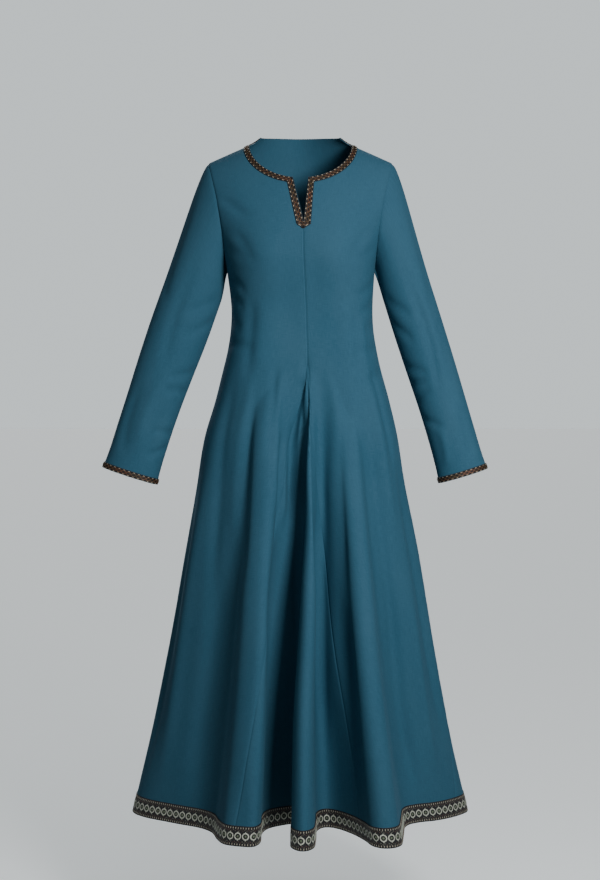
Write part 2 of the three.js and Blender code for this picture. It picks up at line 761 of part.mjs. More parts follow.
// Ribbon round the hem, over the lowest strip of each panel
function hemRibbon() {
  const patch = new Patch();
  const strips = [
    { rows: goreRows, flip: false },
    { rows: front.left.lower, flip: false },
    { rows: front.right.lower, flip: true },
    { rows: back.left.lower, flip: true },
    { rows: back.right.lower, flip: false },
  ];
  for (const { rows, flip } of strips) patch.zip(rows[0], rows[1], flip);
  return patch;
}

function fabric(color, roughness) {
  return new THREE.MeshStandardMaterial({ color, roughness, metalness: 0, flatShading: true });
}

const finishes = {
  cloth: fabric(0x24586f, 0.85),
  braid: fabric(0x3f2a1a, 0.7),
  ribbon: fabric(0x2a2c28, 0.7),
};

const dress = new THREE.Group();

function addPiece(name, geometry, material) {
  const mesh = new THREE.Mesh(geometry, material);
  mesh.name = name;
  dress.add(mesh);
}

const halfGap = cloth.seamGap / 2;

function addCloth(name, patch) {
  addPiece(name, patch.drawIn(halfGap).wall(-cloth.wall, 0), finishes.cloth);
}

addCloth("front_panel_left", frontPanel(1));
addCloth("front_panel_right", frontPanel(-1));

const gore = new Patch();
gore.zipAll(goreRows);
addCloth("front_gore", gore);

addCloth("back_panel", backPanel());

for (const name of ["left", "right"]) {
  const { side } = sleeves[name];
  addCloth(`sleeve_${name}`, sleevePatch(sleeveGrid[name], side));
  const cuff = sleevePatch(sleeveGrid[name].slice(-2), side);
  addPiece(`cuff_braid_${name}`, cuff.wall(braid.lift, braid.lift + braid.thickness), finishes.braid);
}

addPiece("neck_braid", neckBraid().wall(braid.lift, braid.lift + braid.thickness), finishes.braid);
addPiece("hem_ribbon", hemRibbon().wall(ribbon.lift, ribbon.lift + ribbon.thickness), finishes.ribbon);

export default dress;
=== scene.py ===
import math

import bpy
import numpy as np
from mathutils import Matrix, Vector


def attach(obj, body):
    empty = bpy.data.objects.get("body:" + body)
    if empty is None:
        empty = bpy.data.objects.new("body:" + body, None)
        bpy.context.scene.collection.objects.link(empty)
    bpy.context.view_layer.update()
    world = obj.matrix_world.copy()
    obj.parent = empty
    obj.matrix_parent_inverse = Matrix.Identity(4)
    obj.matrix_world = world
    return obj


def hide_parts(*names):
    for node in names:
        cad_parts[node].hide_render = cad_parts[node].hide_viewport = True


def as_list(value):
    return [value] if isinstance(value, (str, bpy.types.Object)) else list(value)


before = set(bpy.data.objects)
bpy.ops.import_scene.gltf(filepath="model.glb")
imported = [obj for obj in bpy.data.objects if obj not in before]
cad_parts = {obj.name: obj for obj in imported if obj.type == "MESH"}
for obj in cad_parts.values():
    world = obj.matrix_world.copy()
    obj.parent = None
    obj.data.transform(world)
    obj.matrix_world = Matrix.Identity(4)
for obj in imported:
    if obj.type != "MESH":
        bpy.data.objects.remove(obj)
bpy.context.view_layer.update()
bpy.ops.object.select_all(action="DESELECT")

mm = 0.001
turn = 360.0
sideNames = {1: "left", -1: "right"}

# Shapes are worked out in millimetres, in the solids' own frame: +X is the wearer's left, -Y the front, +Z up.


def makeTable(columns, rows):
    return {name: np.array([row[i] for row in rows], float) for i, name in enumerate(columns.split())}


def readTable(table, column, at):
    keys = next(iter(table.values()))
    values = table[column]
    slopes = np.empty_like(values)
    slopes[1:-1] = (values[2:] - values[:-2]) / (keys[2:] - keys[:-2])
    slopes[0] = (values[1] - values[0]) / (keys[1] - keys[0])
    slopes[-1] = (values[-1] - values[-2]) / (keys[-1] - keys[-2])
    at = np.clip(at, keys[0], keys[-1])
    i = np.clip(np.searchsorted(keys, at) - 1, 0, len(keys) - 2)
    span = keys[i + 1] - keys[i]
    t = (at - keys[i]) / span
    return (
        (2 * t**3 - 3 * t**2 + 1) * values[i]
        + (t**3 - 2 * t**2 + t) * span * slopes[i]
        + (3 * t**2 - 2 * t**3) * values[i + 1]
        + (t**3 - t**2) * span * slopes[i + 1]
    )


def lerp(a, b, share):
    return a + (b - a) * share


def lengthsOf(points):
    return np.concatenate([[0], np.cumsum(np.linalg.norm(np.diff(points, axis=0), axis=1))])


def unit(vector):
    return vector / np.maximum(np.linalg.norm(vector, axis=-1, keepdims=True), 1e-12)


def paired(a, b):
    return np.broadcast_arrays(np.asarray(a, float), np.asarray(b, float))


def readRow(values, at):
    return np.interp(at, range(len(values)), values)


# The body's shape, as the solids have it

levels = {"hem": -1324.0, "goreTop": -442.0, "bodice": -270.0, "bust": -230.0, "ridge": 0.0}
shoulder = {"topX": 116.3, "slope": 0.45, "neckX": 106, "round": 30, "napeRise": 119, "roll": 1.5}
bust = {"x": 74, "z": -228, "swell": 9, "width": 52, "height": 62}
neckEdge = {"halfWidth": 102, "top": 4.5, "frontDepth": 78.5, "backHeight": 24}
braidEdge = {"halfWidth": 112.5, "top": 0.1, "frontDepth": 84.5, "backHeight": 18}
slit = {"bottom": (6, -161), "braidBottom": (5, -176), "footOut": 13.5, "footDown": 6, "cornerX": 15.3,
        "braidCornerX": 26}
foldRise = 0.85
bustToRidge = levels["ridge"] - levels["bust"]

sections = makeTable("level half shift front back frontSquare backSquare", [
    (-1324, 334, 0, 150, 200, 0.1, 0),
    (-1138, 291, 0, 143, 184, 0.14, 0.02),
    (-996, 264, 0, 138, 171, 0.2, 0.04),
    (-842, 238, 0, 132, 157, 0.27, 0.06),
    (-704, 214, 0, 125, 143, 0.34, 0.08),
    (-664, 207.5, 0, 123, 139, 0.36, 0.09),
    (-578, 193.5, 1.2, 118, 130, 0.42, 0.1),
    (-504, 173.5, 3.6, 112, 121, 0.46, 0.12),
    (-444, 157.5, 3, 107, 112, 0.48, 0.14),
    (-404, 148.5, 3.4, 103, 104, 0.48, 0.16),
    (-364, 142.5, 3.2, 101, 98, 0.46, 0.18),
    (-320, 141, 3, 104, 97, 0.42, 0.2),
    (-256, 146.5, 1, 115, 103, 0.36, 0.22),
    (-230, 151, 0, 119, 106, 0.33, 0.24),
    (-190, 162, 0, 122, 107, 0.29, 0.25),
    (-150, 178, 0, 122, 107, 0.25, 0.25),
    (-110, 193, 0, 122, 107, 0.25, 0.25),
    (-70, 206, 0, 122, 107, 0.25, 0.25),
    (-30, 216, 0, 122, 107, 0.25, 0.25),
    (0, 222, 0, 122, 107, 0.25, 0.25),
])
goreLean = makeTable("level lean", [
    (-1324, 0), (-1080, 0.3), (-900, 2.4), (-744, 3.8), (-600, 2.8), (-442, 0.4),
])
leanReach = {"middle": 4, "half": 16}
goreSeams = makeTable("level right left", [
    (-1324, -23.5, 20.5), (-1080, -19.2, 18.2), (-870, -15, 15.4), (-760, -13.2, 13.4),
    (-650, -10, 11.4), (-560, -5.4, 9), (-500, -1, 6.6), (-442, 3.2, 4.6),
])
sideSeams = makeTable("level right left", [
    (-1324, -95, 68), (-1100, -94, 86), (-900, -92, 90), (-252, -90, 90),
])
armhole = makeTable("row z front back", [
    (0, -252, 146.5, 146.5), (1, -240, 148.5, 149.5), (2, -222, 150, 152.5), (3, -198, 152, 156),
    (4, -172, 155, 160), (5, -146, 159, 164.5), (6, -120, 163.5, 168.5), (7, -96, 168, 172.5),
    (8, -75, 173, 176.5), (9, -58, 177, 179.5), (10, -46, 180, 181.5), (11, -38, 182, 182.5),
    (12, -31, 184, 184),
])
lastArmholeRow = 12

# the hem seen from above: bearing, place, and the level where that part of the fold begins
hemRows = [
    (-93, -334.5, 9, -700), (-68, -308, -53, -700), (-54, -269, -82, -700), (-42, -224, -112, -600),
    (-35, -189, -136, -540), (-31, -166, -168, -520), (-28.5, -155, -210, -510), (-25.5, -141, -243, -500),
    (-21.5, -113, -258, -480), (-17.5, -86, -260, -460), (-15, -73, -232, -450), (-13, -67, -186, -445),
    (-9.5, -44, -138, -442), (-5, -18, -106, -442), (-1.5, -6, -130, -442), (0, -14, -205, -442),
    (1.5, -17, -262, -442), (3.5, 2, -290, -442), (6, 23, -270, -442), (8, 28, -215, -442),
    (9.5, 30, -158, -442), (12, 46, -130, -442), (15, 70, -138, -445), (18.5, 99, -176, -450),
    (21.5, 120, -220, -470), (24.5, 134, -258, -500), (28, 158, -272, -530), (31.5, 184, -252, -540),
    (33.5, 192, -195, -560), (36, 200, -128, -580), (41, 223, -98, -600), (51.5, 263, -80, -640),
    (71, 315, -38, -700), (90, 334, 2, -700), (101, 330, 44, -660), (110, 311, 80, -640),
    (117, 297, 118, -630), (122, 291, 156, -620), (127.5, 273, 180, -620), (133, 247, 176, -620),
    (138, 230, 150, -610), (143, 212, 140, -590), (149, 189, 158, -570), (154, 174, 202, -560),
    (158.5, 157, 244, -560), (163, 126, 262, -560), (167.5, 96, 248, -560), (171, 81, 210, -560),
    (175, 60, 184, -550), (180, 28, 180, -540), (184.5, 2, 204, -540), (188, -13, 246, -550),
    (192.5, -42, 270, -560), (197, -73, 260, -570), (200.5, -88, 224, -570), (205, -108, 190, -560),
    (211, -142, 174, -560), (216, -170, 186, -570), (220.5, -188, 214, -580), (226, -214, 225, -600),
    (231, -239, 204, -620), (235.5, -252, 166, -640), (241, -275, 132, -660), (248, -305, 103, -680),
    (257, -326, 60, -700),
]


def ridgeHeight(x, onBack):
    reach = np.hypot(x, shoulder["round"])
    rise = shoulder["napeRise"] * np.maximum(0, 1 - reach / shoulder["neckX"]) ** 2
    return shoulder["slope"] * (shoulder["topX"] - reach) + np.where(onBack, rise, 0)


def smoothBody(bearing, level):
    angle = np.radians(bearing)
    onBack = np.cos(angle) < 0
    share = np.clip((level - levels["bust"]) / bustToRidge, 0, 1)
    roll = np.sqrt(np.maximum(0, 1 - share ** shoulder["roll"]))
    depth = np.where(onBack, readTable(sections, "back", level), readTable(sections, "front", level)) * roll
    square = np.where(onBack, readTable(sections, "backSquare", level), readTable(sections, "frontSquare", level))
    x = readTable(sections, "shift", level) + readTable(sections, "half", level) * np.sin(angle)
    y = -depth * np.cos(angle) * (1 + square * np.sin(angle) ** 2)
    stretched = levels["bust"] + (level - levels["bust"]) * (ridgeHeight(x, onBack) - levels["bust"]) / bustToRidge
    z = np.where(level <= levels["bust"], level, stretched)
    swell = (
        bust["swell"]
        * np.exp(-(((np.abs(x) - bust["x"]) / bust["width"]) ** 2))
        * np.exp(-(((z - bust["z"]) / bust["height"]) ** 2))
        * np.maximum(0, np.cos(angle))
    )
    return np.stack([x, y - swell, z], -1)


def makeFolds():
    bearings = np.array([row[0] for row in hemRows], float)
    base = smoothBody(bearings, np.full(len(bearings), levels["hem"]))
    rows = [(row[0], row[1] - base[i, 0], row[2] - base[i, 1], row[3]) for i, row in enumerate(hemRows)]
    before = [(row[0] - turn, *row[1:]) for row in rows[-3:]]
    after = [(row[0] + turn, *row[1:]) for row in rows[:3]]
    return makeTable("bearing dx dy start", before + rows + after)


folds = makeFolds()


def foldedBody(bearing, level):
    bearing, level = paired(bearing, level)
    point = smoothBody(bearing, level)
    aside = np.clip(np.abs(bearing - leanReach["middle"]) / leanReach["half"], 0, 1)
    leaned = bearing - readTable(goreLean, "lean", level) * (1 - aside**2) ** 2
    first = hemRows[0][0]
    wrapped = first + (leaned - first) % turn
    start = readTable(folds, "start", wrapped)
    share = np.clip((start - level) / (start - levels["hem"]), 0, 1) ** foldRise
    point[..., 0] += share * readTable(folds, "dx", wrapped)
    point[..., 1] += share * readTable(folds, "dy", wrapped)
    return point


# Creases laid over the big folds

creaseLook = {
    "past": 60,  # mm above and below a crease where it is still worked out
    "fade": 0.3,  # share of its length over which each end dies away
    "steep": 2,  # mm of fall to a degree of bearing, above which a crease counts as upright
    "wander": 0.05, "waves": 6.1, "phase": 2.3,  # how an upright crease strays from its line
    "girth": 112, "flare": 0.14,  # rough radius of the body in mm, and its growth down the skirt
    "slantScale": 2.1, "slantBow": 0.06,  # mm to a degree for creases that run across, and their bend
}

# bearing and level of both ends, half width and height in mm; a trough is below 0
gorePleats = [
    (4.0, -402, 2.2, -770, 5, -10.0), (5.3, -414, 6.7, -730, 4.5, 4.5), (6.6, -408, 11.2, -880, 5.5, -9.5),
    (2.8, -408, -6.4, -620, 4.5, -6.0),
    (11.0, -700, 12.0, -1240, 7, -10.0), (-1.4, -470, -2.6, -720, 4.5, 3.5), (-6.2, -520, -6.0, -760, 5, -6.5),
    (-9.9, -575, -10.6, -760, 5, 5.0), (-12.2, -560, -13.0, -780, 4.5, -5.0), (-14.6, -540, -15.2, -740, 5, 3.5),
    (-11.5, -700, -10.6, -1500, 14, -18.0), (5.8, -720, 4.0, -1260, 8, 4.5), (-3.0, -760, -2.0, -1120, 7, -4.0),
]
frontCreases = [
    (-23.5, -410, -19.2, -1010, 20, 6.5), (-20, -860, -19.6, -1300, 16, 6.0), (-18.8, -420, -17.6, -640, 6, -4.0),
    (-32.5, -470, -26.5, -880, 7, -4.5), (-38, -420, -35, -820, 12, 4.0), (-54, -430, -45, -900, 15, -5.0),
    (-44, -760, -37, -1300, 24, -6.0), (-64, -560, -62, -1290, 22, 5.5), (-78, -600, -78, -1290, 20, -5.5),
    (18.0, -490, 16.8, -1190, 10, 6.5), (25, -480, 20, -900, 7, -3.0), (20.4, -860, 20.6, -1300, 8, -5.5),
    (33.5, -430, 28, -1000, 16, 6.0), (28.6, -840, 27.7, -1300, 14, 6.5), (42, -500, 45, -1000, 12, -5.5),
    (44.5, -840, 41.5, -1300, 15, -9.0), (51, -430, 55, -800, 12, 5.0), (59, -820, 58, -1290, 16, 6.0),
    (60, -430, 63, -660, 9, -4.0), (71, -560, 71, -1220, 17, -6.0), (83, -620, 82, -1290, 18, 4.5),
    (91, -470, 92, -1050, 14, -4.5), (-90, -450, -90, -1100, 15, -4.0),
    (-32.5, -300, -31.5, -470, 26, 3.5), (40.1, -300, 37, -450, 24, 3.5), (12, -200, 8, -420, 16, -1.6),
    (-44, -290, -41, -480, 13, -3.5), (47, -300, 43, -480, 12, -2.4), (56, -330, 52, -480, 12, 2.6),
    (-12, -190, -7, -430, 18, -1.6), (82, -262, 44, -306, 9, -2.8), (86, -304, 48, -336, 9, -2.4),
    (86, -352, 54, -366, 10, -2.4), (84, -396, 38, -410, 9, -3.0), (80, -440, 48, -470, 10, -3.0),
    (-82, -262, -46, -300, 9, -2.8), (-86, -300, -50, -326, 9, -2.4), (-86, -350, -54, -366, 10, -2.2),
    (-84, -394, -36, -412, 10, -2.8), (-54, -92, -34, -160, 10, -2.8), (52, -90, 34, -156, 10, -2.8),
    (-50, -168, -38, -250, 11, -2.4), (51, -160, 40, -246, 11, -2.4), (70, -200, 40, -236, 12, -1.8),
    (-72, -206, -42, -238, 12, -1.8),
]
backCreases = [
    (118, -390, 121, -900, 16, -6.0), (131, -420, 133, -980, 18, 6.0), (147, -380, 149, -820, 14, -5.5),
    (163, -440, 165, -1080, 17, 6.0), (184, -410, 182, -880, 15, -5.5), (199, -400, 196, -960, 17, 6.0),
    (213, -390, 212, -800, 14, -6.0), (228, -430, 226, -1060, 18, 6.0), (243, -400, 241, -880, 16, -6.0),
    (256, -480, 255, -1200, 20, 5.0), (104, -500, 106, -1240, 20, 5.0), (140, -760, 139, -1290, 16, -4.5),
    (172, -800, 173, -1280, 12, -4.5), (209, -800, 208, -1290, 16, -4.5), (237, -820, 236, -1290, 16, -4.5),
    (104, -252, 140, -302, 10, -3.6), (98, -302, 142, -332, 9, -3.2), (97, -352, 150, -364, 9, -3.8),
    (100, -394, 146, -422, 11, -3.2), (256, -248, 222, -298, 10, -3.6), (262, -298, 218, -328, 9, -3.2),
    (263, -348, 212, -362, 9, -3.8), (260, -390, 216, -416, 11, -3.2), (128, -84, 146, -156, 11, -2.8),
    (233, -86, 214, -158, 11, -2.8), (174, -70, 168, -230, 15, -2.4), (190, -90, 196, -240, 15, -2.2),
]
bodyCreases = gorePleats + frontCreases + backCreases


def fadeEnds(along):
    share = np.clip(np.minimum(along, 1 - along) / creaseLook["fade"], 0, 1)
    return share * share * (3 - 2 * share)


def bearingFrom(middle, bearing):
    return (bearing - middle + turn / 2) % turn - turn / 2


def crossCrease(aside, down, run, fall, bow):
    length = math.hypot(run, fall)
    along = (aside * run + down * fall) / length**2
    return along, (aside * fall - down * run) / length + bow * length * np.sin(np.pi * along)


def creaseHeight(bearing, level):
    look = creaseLook
    height = np.zeros(bearing.shape)
    for i, (bearingA, levelA, bearingB, levelB, width, rise) in enumerate(bodyCreases):
        near = (level > min(levelA, levelB) - look["past"]) & (level < max(levelA, levelB) + look["past"])
        if not near.any():
            continue
        at, z = bearing[near], level[near]
        if abs(levelB - levelA) > look["steep"] * abs(bearingB - bearingA):
            along = (levelA - z) / (levelA - levelB)
            stray = look["wander"] * width * np.sin(along * look["waves"] + i * look["phase"])
            scale = np.radians(1) * (look["girth"] + look["flare"] * np.maximum(0, levels["bodice"] - z))
            off = bearingFrom(lerp(bearingA, bearingB, along) + stray, at) * scale
        else:
            aside, run = bearingFrom(bearingA, at) * look["slantScale"], (bearingB - bearingA) * look["slantScale"]
            along, off = crossCrease(aside, z - levelA, run, levelB - levelA, look["slantBow"])
        height[near] += rise * np.exp(-((off / width) ** 2)) * fadeEnds(along)
    return height


normalSteps = {"body": 0.05, "cloth": 0.15, "armhole": 0.1}  # degrees round and mm up, to either side


def normalOf(surface, bearing, level, step):
    above = np.minimum(level + step, levels["ridge"])
    across = surface(bearing + step, level) - surface(bearing - step, level)
    return unit(np.cross(across, surface(bearing, above) - surface(bearing, level - step)))


def clothBody(bearing, level, lift=0.0):
    bearing, level = paired(bearing, level)
    normal = normalOf(foldedBody, bearing, level, normalSteps["body"])
    return foldedBody(bearing, level) + normal * (creaseHeight(bearing, level) + lift)[..., None]


def liftedBody(place, lift):
    normal = normalOf(clothBody, place[..., 0], place[..., 1], normalSteps["cloth"])
    return clothBody(place[..., 0], place[..., 1]) + normal * np.asarray(lift, float)[..., None]


# Places on the body, found by how they look from the front or back

def placeAt(x, z, onBack):
    x, z = paired(x, z)
    stretched = levels["bust"] + (z - levels["bust"]) * bustToRidge / (ridgeHeight(x, onBack) - levels["bust"])
    level = np.minimum(np.where(z > levels["bust"], stretched, z), levels["ridge"])
    bearing = np.degrees(np.arcsin(np.clip(x / readTable(sections, "half", level), -1, 1)))
    if onBack:
        bearing = np.where(x < 0, -180, 180) - bearing
    return np.stack([bearing, level], -1)


def neckLook(edge, angle, side, onBack):
    angle = np.radians(angle)
    reach = edge["backHeight"] if onBack else -edge["frontDepth"]
    return np.stack([side * edge["halfWidth"] * np.cos(angle), edge["top"] + reach * np.sin(angle)], -1)


def neckPlace(angle, side, onBack):
    look = neckLook(neckEdge, angle, side, onBack)
    return placeAt(look[..., 0], look[..., 1], onBack)


def centreBearing(level):
    foot = placeAt(*slit["braidBottom"], False)
    top = (goreSeams["right"][-1] + goreSeams["left"][-1]) / 2
    return lerp(top, foot[0], np.clip((level - levels["goreTop"]) / (foot[1] - levels["goreTop"]), 0, 1))


def alongPlaces(places, at):
    return np.array([readRow(column, at) for column in np.transpose(places)])


# Rows of cloth

clothLook = {"thickness": 0.9, "across": 4.6, "goreAcross": 2.6, "along": 6.5, "seamDip": 1.2, "dipWidth": 3.6,
             "seamColumn": 1.9, "creaseAngle": 50}
fineSteps = 260  # points that a row's length is measured over
columnJump, fewColumns, narrowRow = 8, 12, 16  # columns in a wide row change by eights; below 16 mm no seam column
neckAngles = [70, 57, 45, 34, 24, 15, 7, 0]
cornerAngle = math.degrees(math.acos(slit["cornerX"] / neckEdge["halfWidth"]))
backCentreLevels = [-270, -245, -215, -185, -158]
frontCentreLevel = -222
slitRow, cornerRow = 3, 5  # upper rows of the front where the slit's free edge begins and where it turns
napeRow, topRow = 6, 13  # the back's free edge, and the last row


def frontInner(side, k):
    if k > cornerRow:
        return neckPlace(readRow([cornerAngle, *neckAngles], k - cornerRow), side, False)
    bottom, corner = placeAt(*slit["bottom"], False), neckPlace(cornerAngle, side, False)
    middles = [(centreBearing(level), level) for level in (levels["bodice"], frontCentreLevel)]
    return alongPlaces([*middles, placeAt(*slit["braidBottom"], False), bottom, (bottom + corner) / 2, corner], k)


def backInner(side, k):
    if k > napeRow:
        return neckPlace(readRow([90, *neckAngles[1:]], k - napeRow), side, True)
    middles = [placeAt(*neckLook(edge, 90, side, True), True)[1] for edge in (braidEdge, neckEdge)]
    return np.array([side * 180, readRow([*backCentreLevels, *middles], k)])


def armholePlace(side, onBack, row):
    x = side * np.interp(row, armhole["row"], armhole["back" if onBack else "front"])
    return placeAt(x, np.interp(row, armhole["row"], armhole["z"]), onBack)


def upperOuter(side, onBack, k):
    if k >= 1:
        return armholePlace(side, onBack, k - 1)
    return lerp(np.array([side * 90.0, levels["bodice"]]), armholePlace(side, onBack, 0), k)


def clothRow(start, end, seamed, across=clothLook["across"]):
    places = lerp(np.asarray(start, float), np.asarray(end, float), np.linspace(0, 1, fineSteps)[:, None])
    lengths = lengthsOf(foldedBody(places[:, 0], places[:, 1]))
    total = lengths[-1]
    steps = total / across
    steps = columnJump * round(steps / columnJump) if steps > fewColumns else max(2, round(steps))
    stops = np.linspace(0, total, steps + 1)
    if total > narrowRow:
        extra = [clothLook["seamColumn"]] if seamed[0] else []
        extra += [total - clothLook["seamColumn"]] if seamed[1] else []
        stops = np.sort(np.concatenate([stops, extra]))
    far = np.full(len(stops), 1e3)
    fromSeam = np.minimum(stops if seamed[0] else far, total - stops if seamed[1] else far)
    dip = -clothLook["seamDip"] * (1 - np.clip(fromSeam / clothLook["dipWidth"], 0, 1)) ** 2
    at = np.stack([np.interp(stops, lengths, places[:, 0]), np.interp(stops, lengths, places[:, 1])], -1)
    return at, dip


def evenLevels(low, high):
    return np.linspace(low, high, max(2, round((high - low) / clothLook["along"]) + 1))


def lowerRows(start, end, seamed, low, high, across=clothLook["across"]):
    return [clothRow((start(at), at), (end(at), at), seamed(at), across) for at in evenLevels(low, high)]


def upperRows(inner, side, onBack, freeFrom, centreSeam):
    ks = []
    for k in range(topRow):
        ends = [(inner(side, k), inner(side, k + 1)), (upperOuter(side, onBack, k), upperOuter(side, onBack, k + 1))]
        reach = max(np.linalg.norm(foldedBody(*a) - foldedBody(*b)) for a, b in ends)
        count = max(2, math.ceil(reach / clothLook["along"]))
        share = np.arange(count) / count
        if k == topRow - 1:
            share = 1 - (1 - share) ** 2  # finer at the ridge, where the cloth turns over the shoulder
        ks += list(k + share)
    ks.append(topRow)
    return [clothRow(inner(side, k), upperOuter(side, onBack, k), (centreSeam and k < freeFrom, True)) for k in ks[1:]]


def zipRows(rows, flip):
    faces, first = [], 0
    for low, high in zip(rows[:-1], rows[1:]):
        a, b = len(low), len(high)
        lower = np.arange(first, first + a)
        upper = np.arange(first + a, first + a + b)
        first += a
        if a == b:
            found = [(lower[i], lower[i + 1], upper[i + 1], upper[i]) for i in range(a - 1)]
        else:
            found, i, j = [], 0, 0
            while i < a - 1 or j < b - 1:
                nextLow = (i + 1) / (a - 1) if i < a - 1 else math.inf
                nextHigh = (j + 1) / (b - 1) if j < b - 1 else math.inf
                if nextLow <= nextHigh:
                    found.append((lower[i], lower[i + 1], upper[j]))
                    i += 1
                else:
                    found.append((lower[i], upper[j + 1], upper[j]))
                    j += 1
        faces += [face[::-1] for face in found] if flip else found
    return faces


# Lengths along the cloth, for patterns that follow it: round the body at each level, and up the body
weaveStart, weaveEnd, weaveStep = -100, 275, 0.5
weaveBearings = np.arange(weaveStart, weaveEnd, weaveStep)
weaveLevels = np.concatenate([
    np.linspace(levels["hem"], levels["bust"], 100), bustToRidge * (np.linspace(0, 1, 60) ** 0.5 - 1)[1:]
])


def measureWeave():
    bearing, level = np.meshgrid(weaveBearings, weaveLevels)
    points = foldedBody(bearing, level)
    around = np.linalg.norm(np.diff(points, axis=1), axis=-1)
    return np.concatenate([np.zeros((len(weaveLevels), 1)), np.cumsum(around, axis=1)], axis=1)


weaveAround = measureWeave()


def weavePlace(places, grain):
    column = (places[:, 0] - weaveStart) % turn / weaveStep
    column = np.clip(column, 0, len(weaveBearings) - 1.001)
    row = np.interp(places[:, 1], weaveLevels, np.arange(len(weaveLevels)))
    row = np.clip(row, 0, len(weaveLevels) - 1.001)
    i, j = row.astype(int), column.astype(int)
    s, t = row - i, column - j
    below, above = (lerp(weaveAround[k, j], weaveAround[k, j + 1], t) for k in (i, i + 1))
    here = lerp(below, above, s)
    middle = int((grain - weaveStart) / weaveStep)
    there = lerp(weaveAround[i, middle], weaveAround[i + 1, middle], s)
    climb = lengthsOf(foldedBody(np.full(len(weaveLevels), float(grain)), weaveLevels))
    return np.stack([here - there, np.interp(places[:, 1], weaveLevels, climb)], -1) * mm


# Meshes

def addMesh(name, points, faces, uvs=None):
    mesh = bpy.data.meshes.new(name)
    mesh.from_pydata([tuple(point) for point in np.asarray(points) * mm], [], [tuple(map(int, f)) for f in faces])
    if uvs is not None:
        layer = mesh.uv_layers.new(name="UVMap")
        corners = np.empty(len(mesh.loops), int)
        mesh.loops.foreach_get("vertex_index", corners)
        layer.data.foreach_set("uv", np.asarray(uvs)[corners].astype(np.float32).ravel())
    obj = bpy.data.objects.new(name, mesh)
    bpy.context.collection.objects.link(obj)
    return obj


def pick(obj):
    bpy.ops.object.select_all(action="DESELECT")
    obj.select_set(True)
    bpy.context.view_layer.objects.active = obj


def tidyMesh(obj, turnOut):
    pick(obj)
    bpy.ops.object.mode_set(mode="EDIT")
    bpy.ops.mesh.select_all(action="SELECT")
    bpy.ops.mesh.remove_doubles(threshold=1e-5)
    bpy.ops.mesh.dissolve_degenerate(threshold=1e-6)
    if turnOut:
        bpy.ops.mesh.normals_make_consistent(inside=False)
    bpy.ops.object.mode_set(mode="OBJECT")


def finishCloth(obj, material):
    tidyMesh(obj, False)
    solidify = obj.modifiers.new("thickness", "SOLIDIFY")
    solidify.thickness = clothLook["thickness"] * mm
    solidify.offset = -1
    bpy.ops.object.modifier_apply(modifier=solidify.name)
    bpy.ops.object.shade_smooth_by_angle(angle=math.radians(clothLook["creaseAngle"]))
    obj.data.materials.append(material)


def wear(obj, slotName, *nodes):
    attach(obj, "root")
    if nodes:
        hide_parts(*nodes)


def bodyCloth(name, strips, grain, material):
    points, uvs, faces = [], [], []
    for rows, flip in strips:
        first = sum(len(p) for p in points)
        places = np.concatenate([row[0] for row in rows])
        dips = np.concatenate([row[1] for row in rows])
        points.append(clothBody(places[:, 0], places[:, 1], dips))
        uvs.append(weavePlace(places, grain))
        faces += [tuple(first + i for i in face) for face in zipRows([row[0] for row in rows], flip)]
    obj = addMesh(name, np.concatenate(points), faces, np.concatenate(uvs))
    finishCloth(obj, material)
    return obj


# Materials

def addNode(tree, kind, inputs=None, **settings):
    node = tree.nodes.new(kind)
    for key, value in settings.items():
        setattr(node, key, value)
    for key, value in (inputs or {}).items():
        if isinstance(value, bpy.types.NodeSocket):
            tree.links.new(value, node.inputs[key])
        else:
            node.inputs[key].default_value = value
    return node


def mathNode(tree, operation, a, b=0.0):
    return addNode(tree, "ShaderNodeMath", {0: a, 1: b}, operation=operation).outputs[0]


def newGroup(name, inputs, outputs):
    group = bpy.data.node_groups.new(name, "ShaderNodeTree")
    for title, kind, value in inputs:
        socket = group.interface.new_socket(name=title, in_out="INPUT", socket_type=kind)
        if value is not None:
            socket.default_value = value
    for title, kind in outputs:
        group.interface.new_socket(name=title, in_out="OUTPUT", socket_type=kind)
    return group, group.nodes.new("NodeGroupInput"), group.nodes.new("NodeGroupOutput")


def stretchedNoise(tree, vector, stretch, detail):
    scaled = addNode(tree, "ShaderNodeVectorMath", {0: vector, 1: stretch}, operation="MULTIPLY").outputs[0]
    noise = addNode(tree, "ShaderNodeTexNoise", {"Vector": scaled, "Scale": 1.0, "Detail": detail})
    return noise.outputs["Fac"]


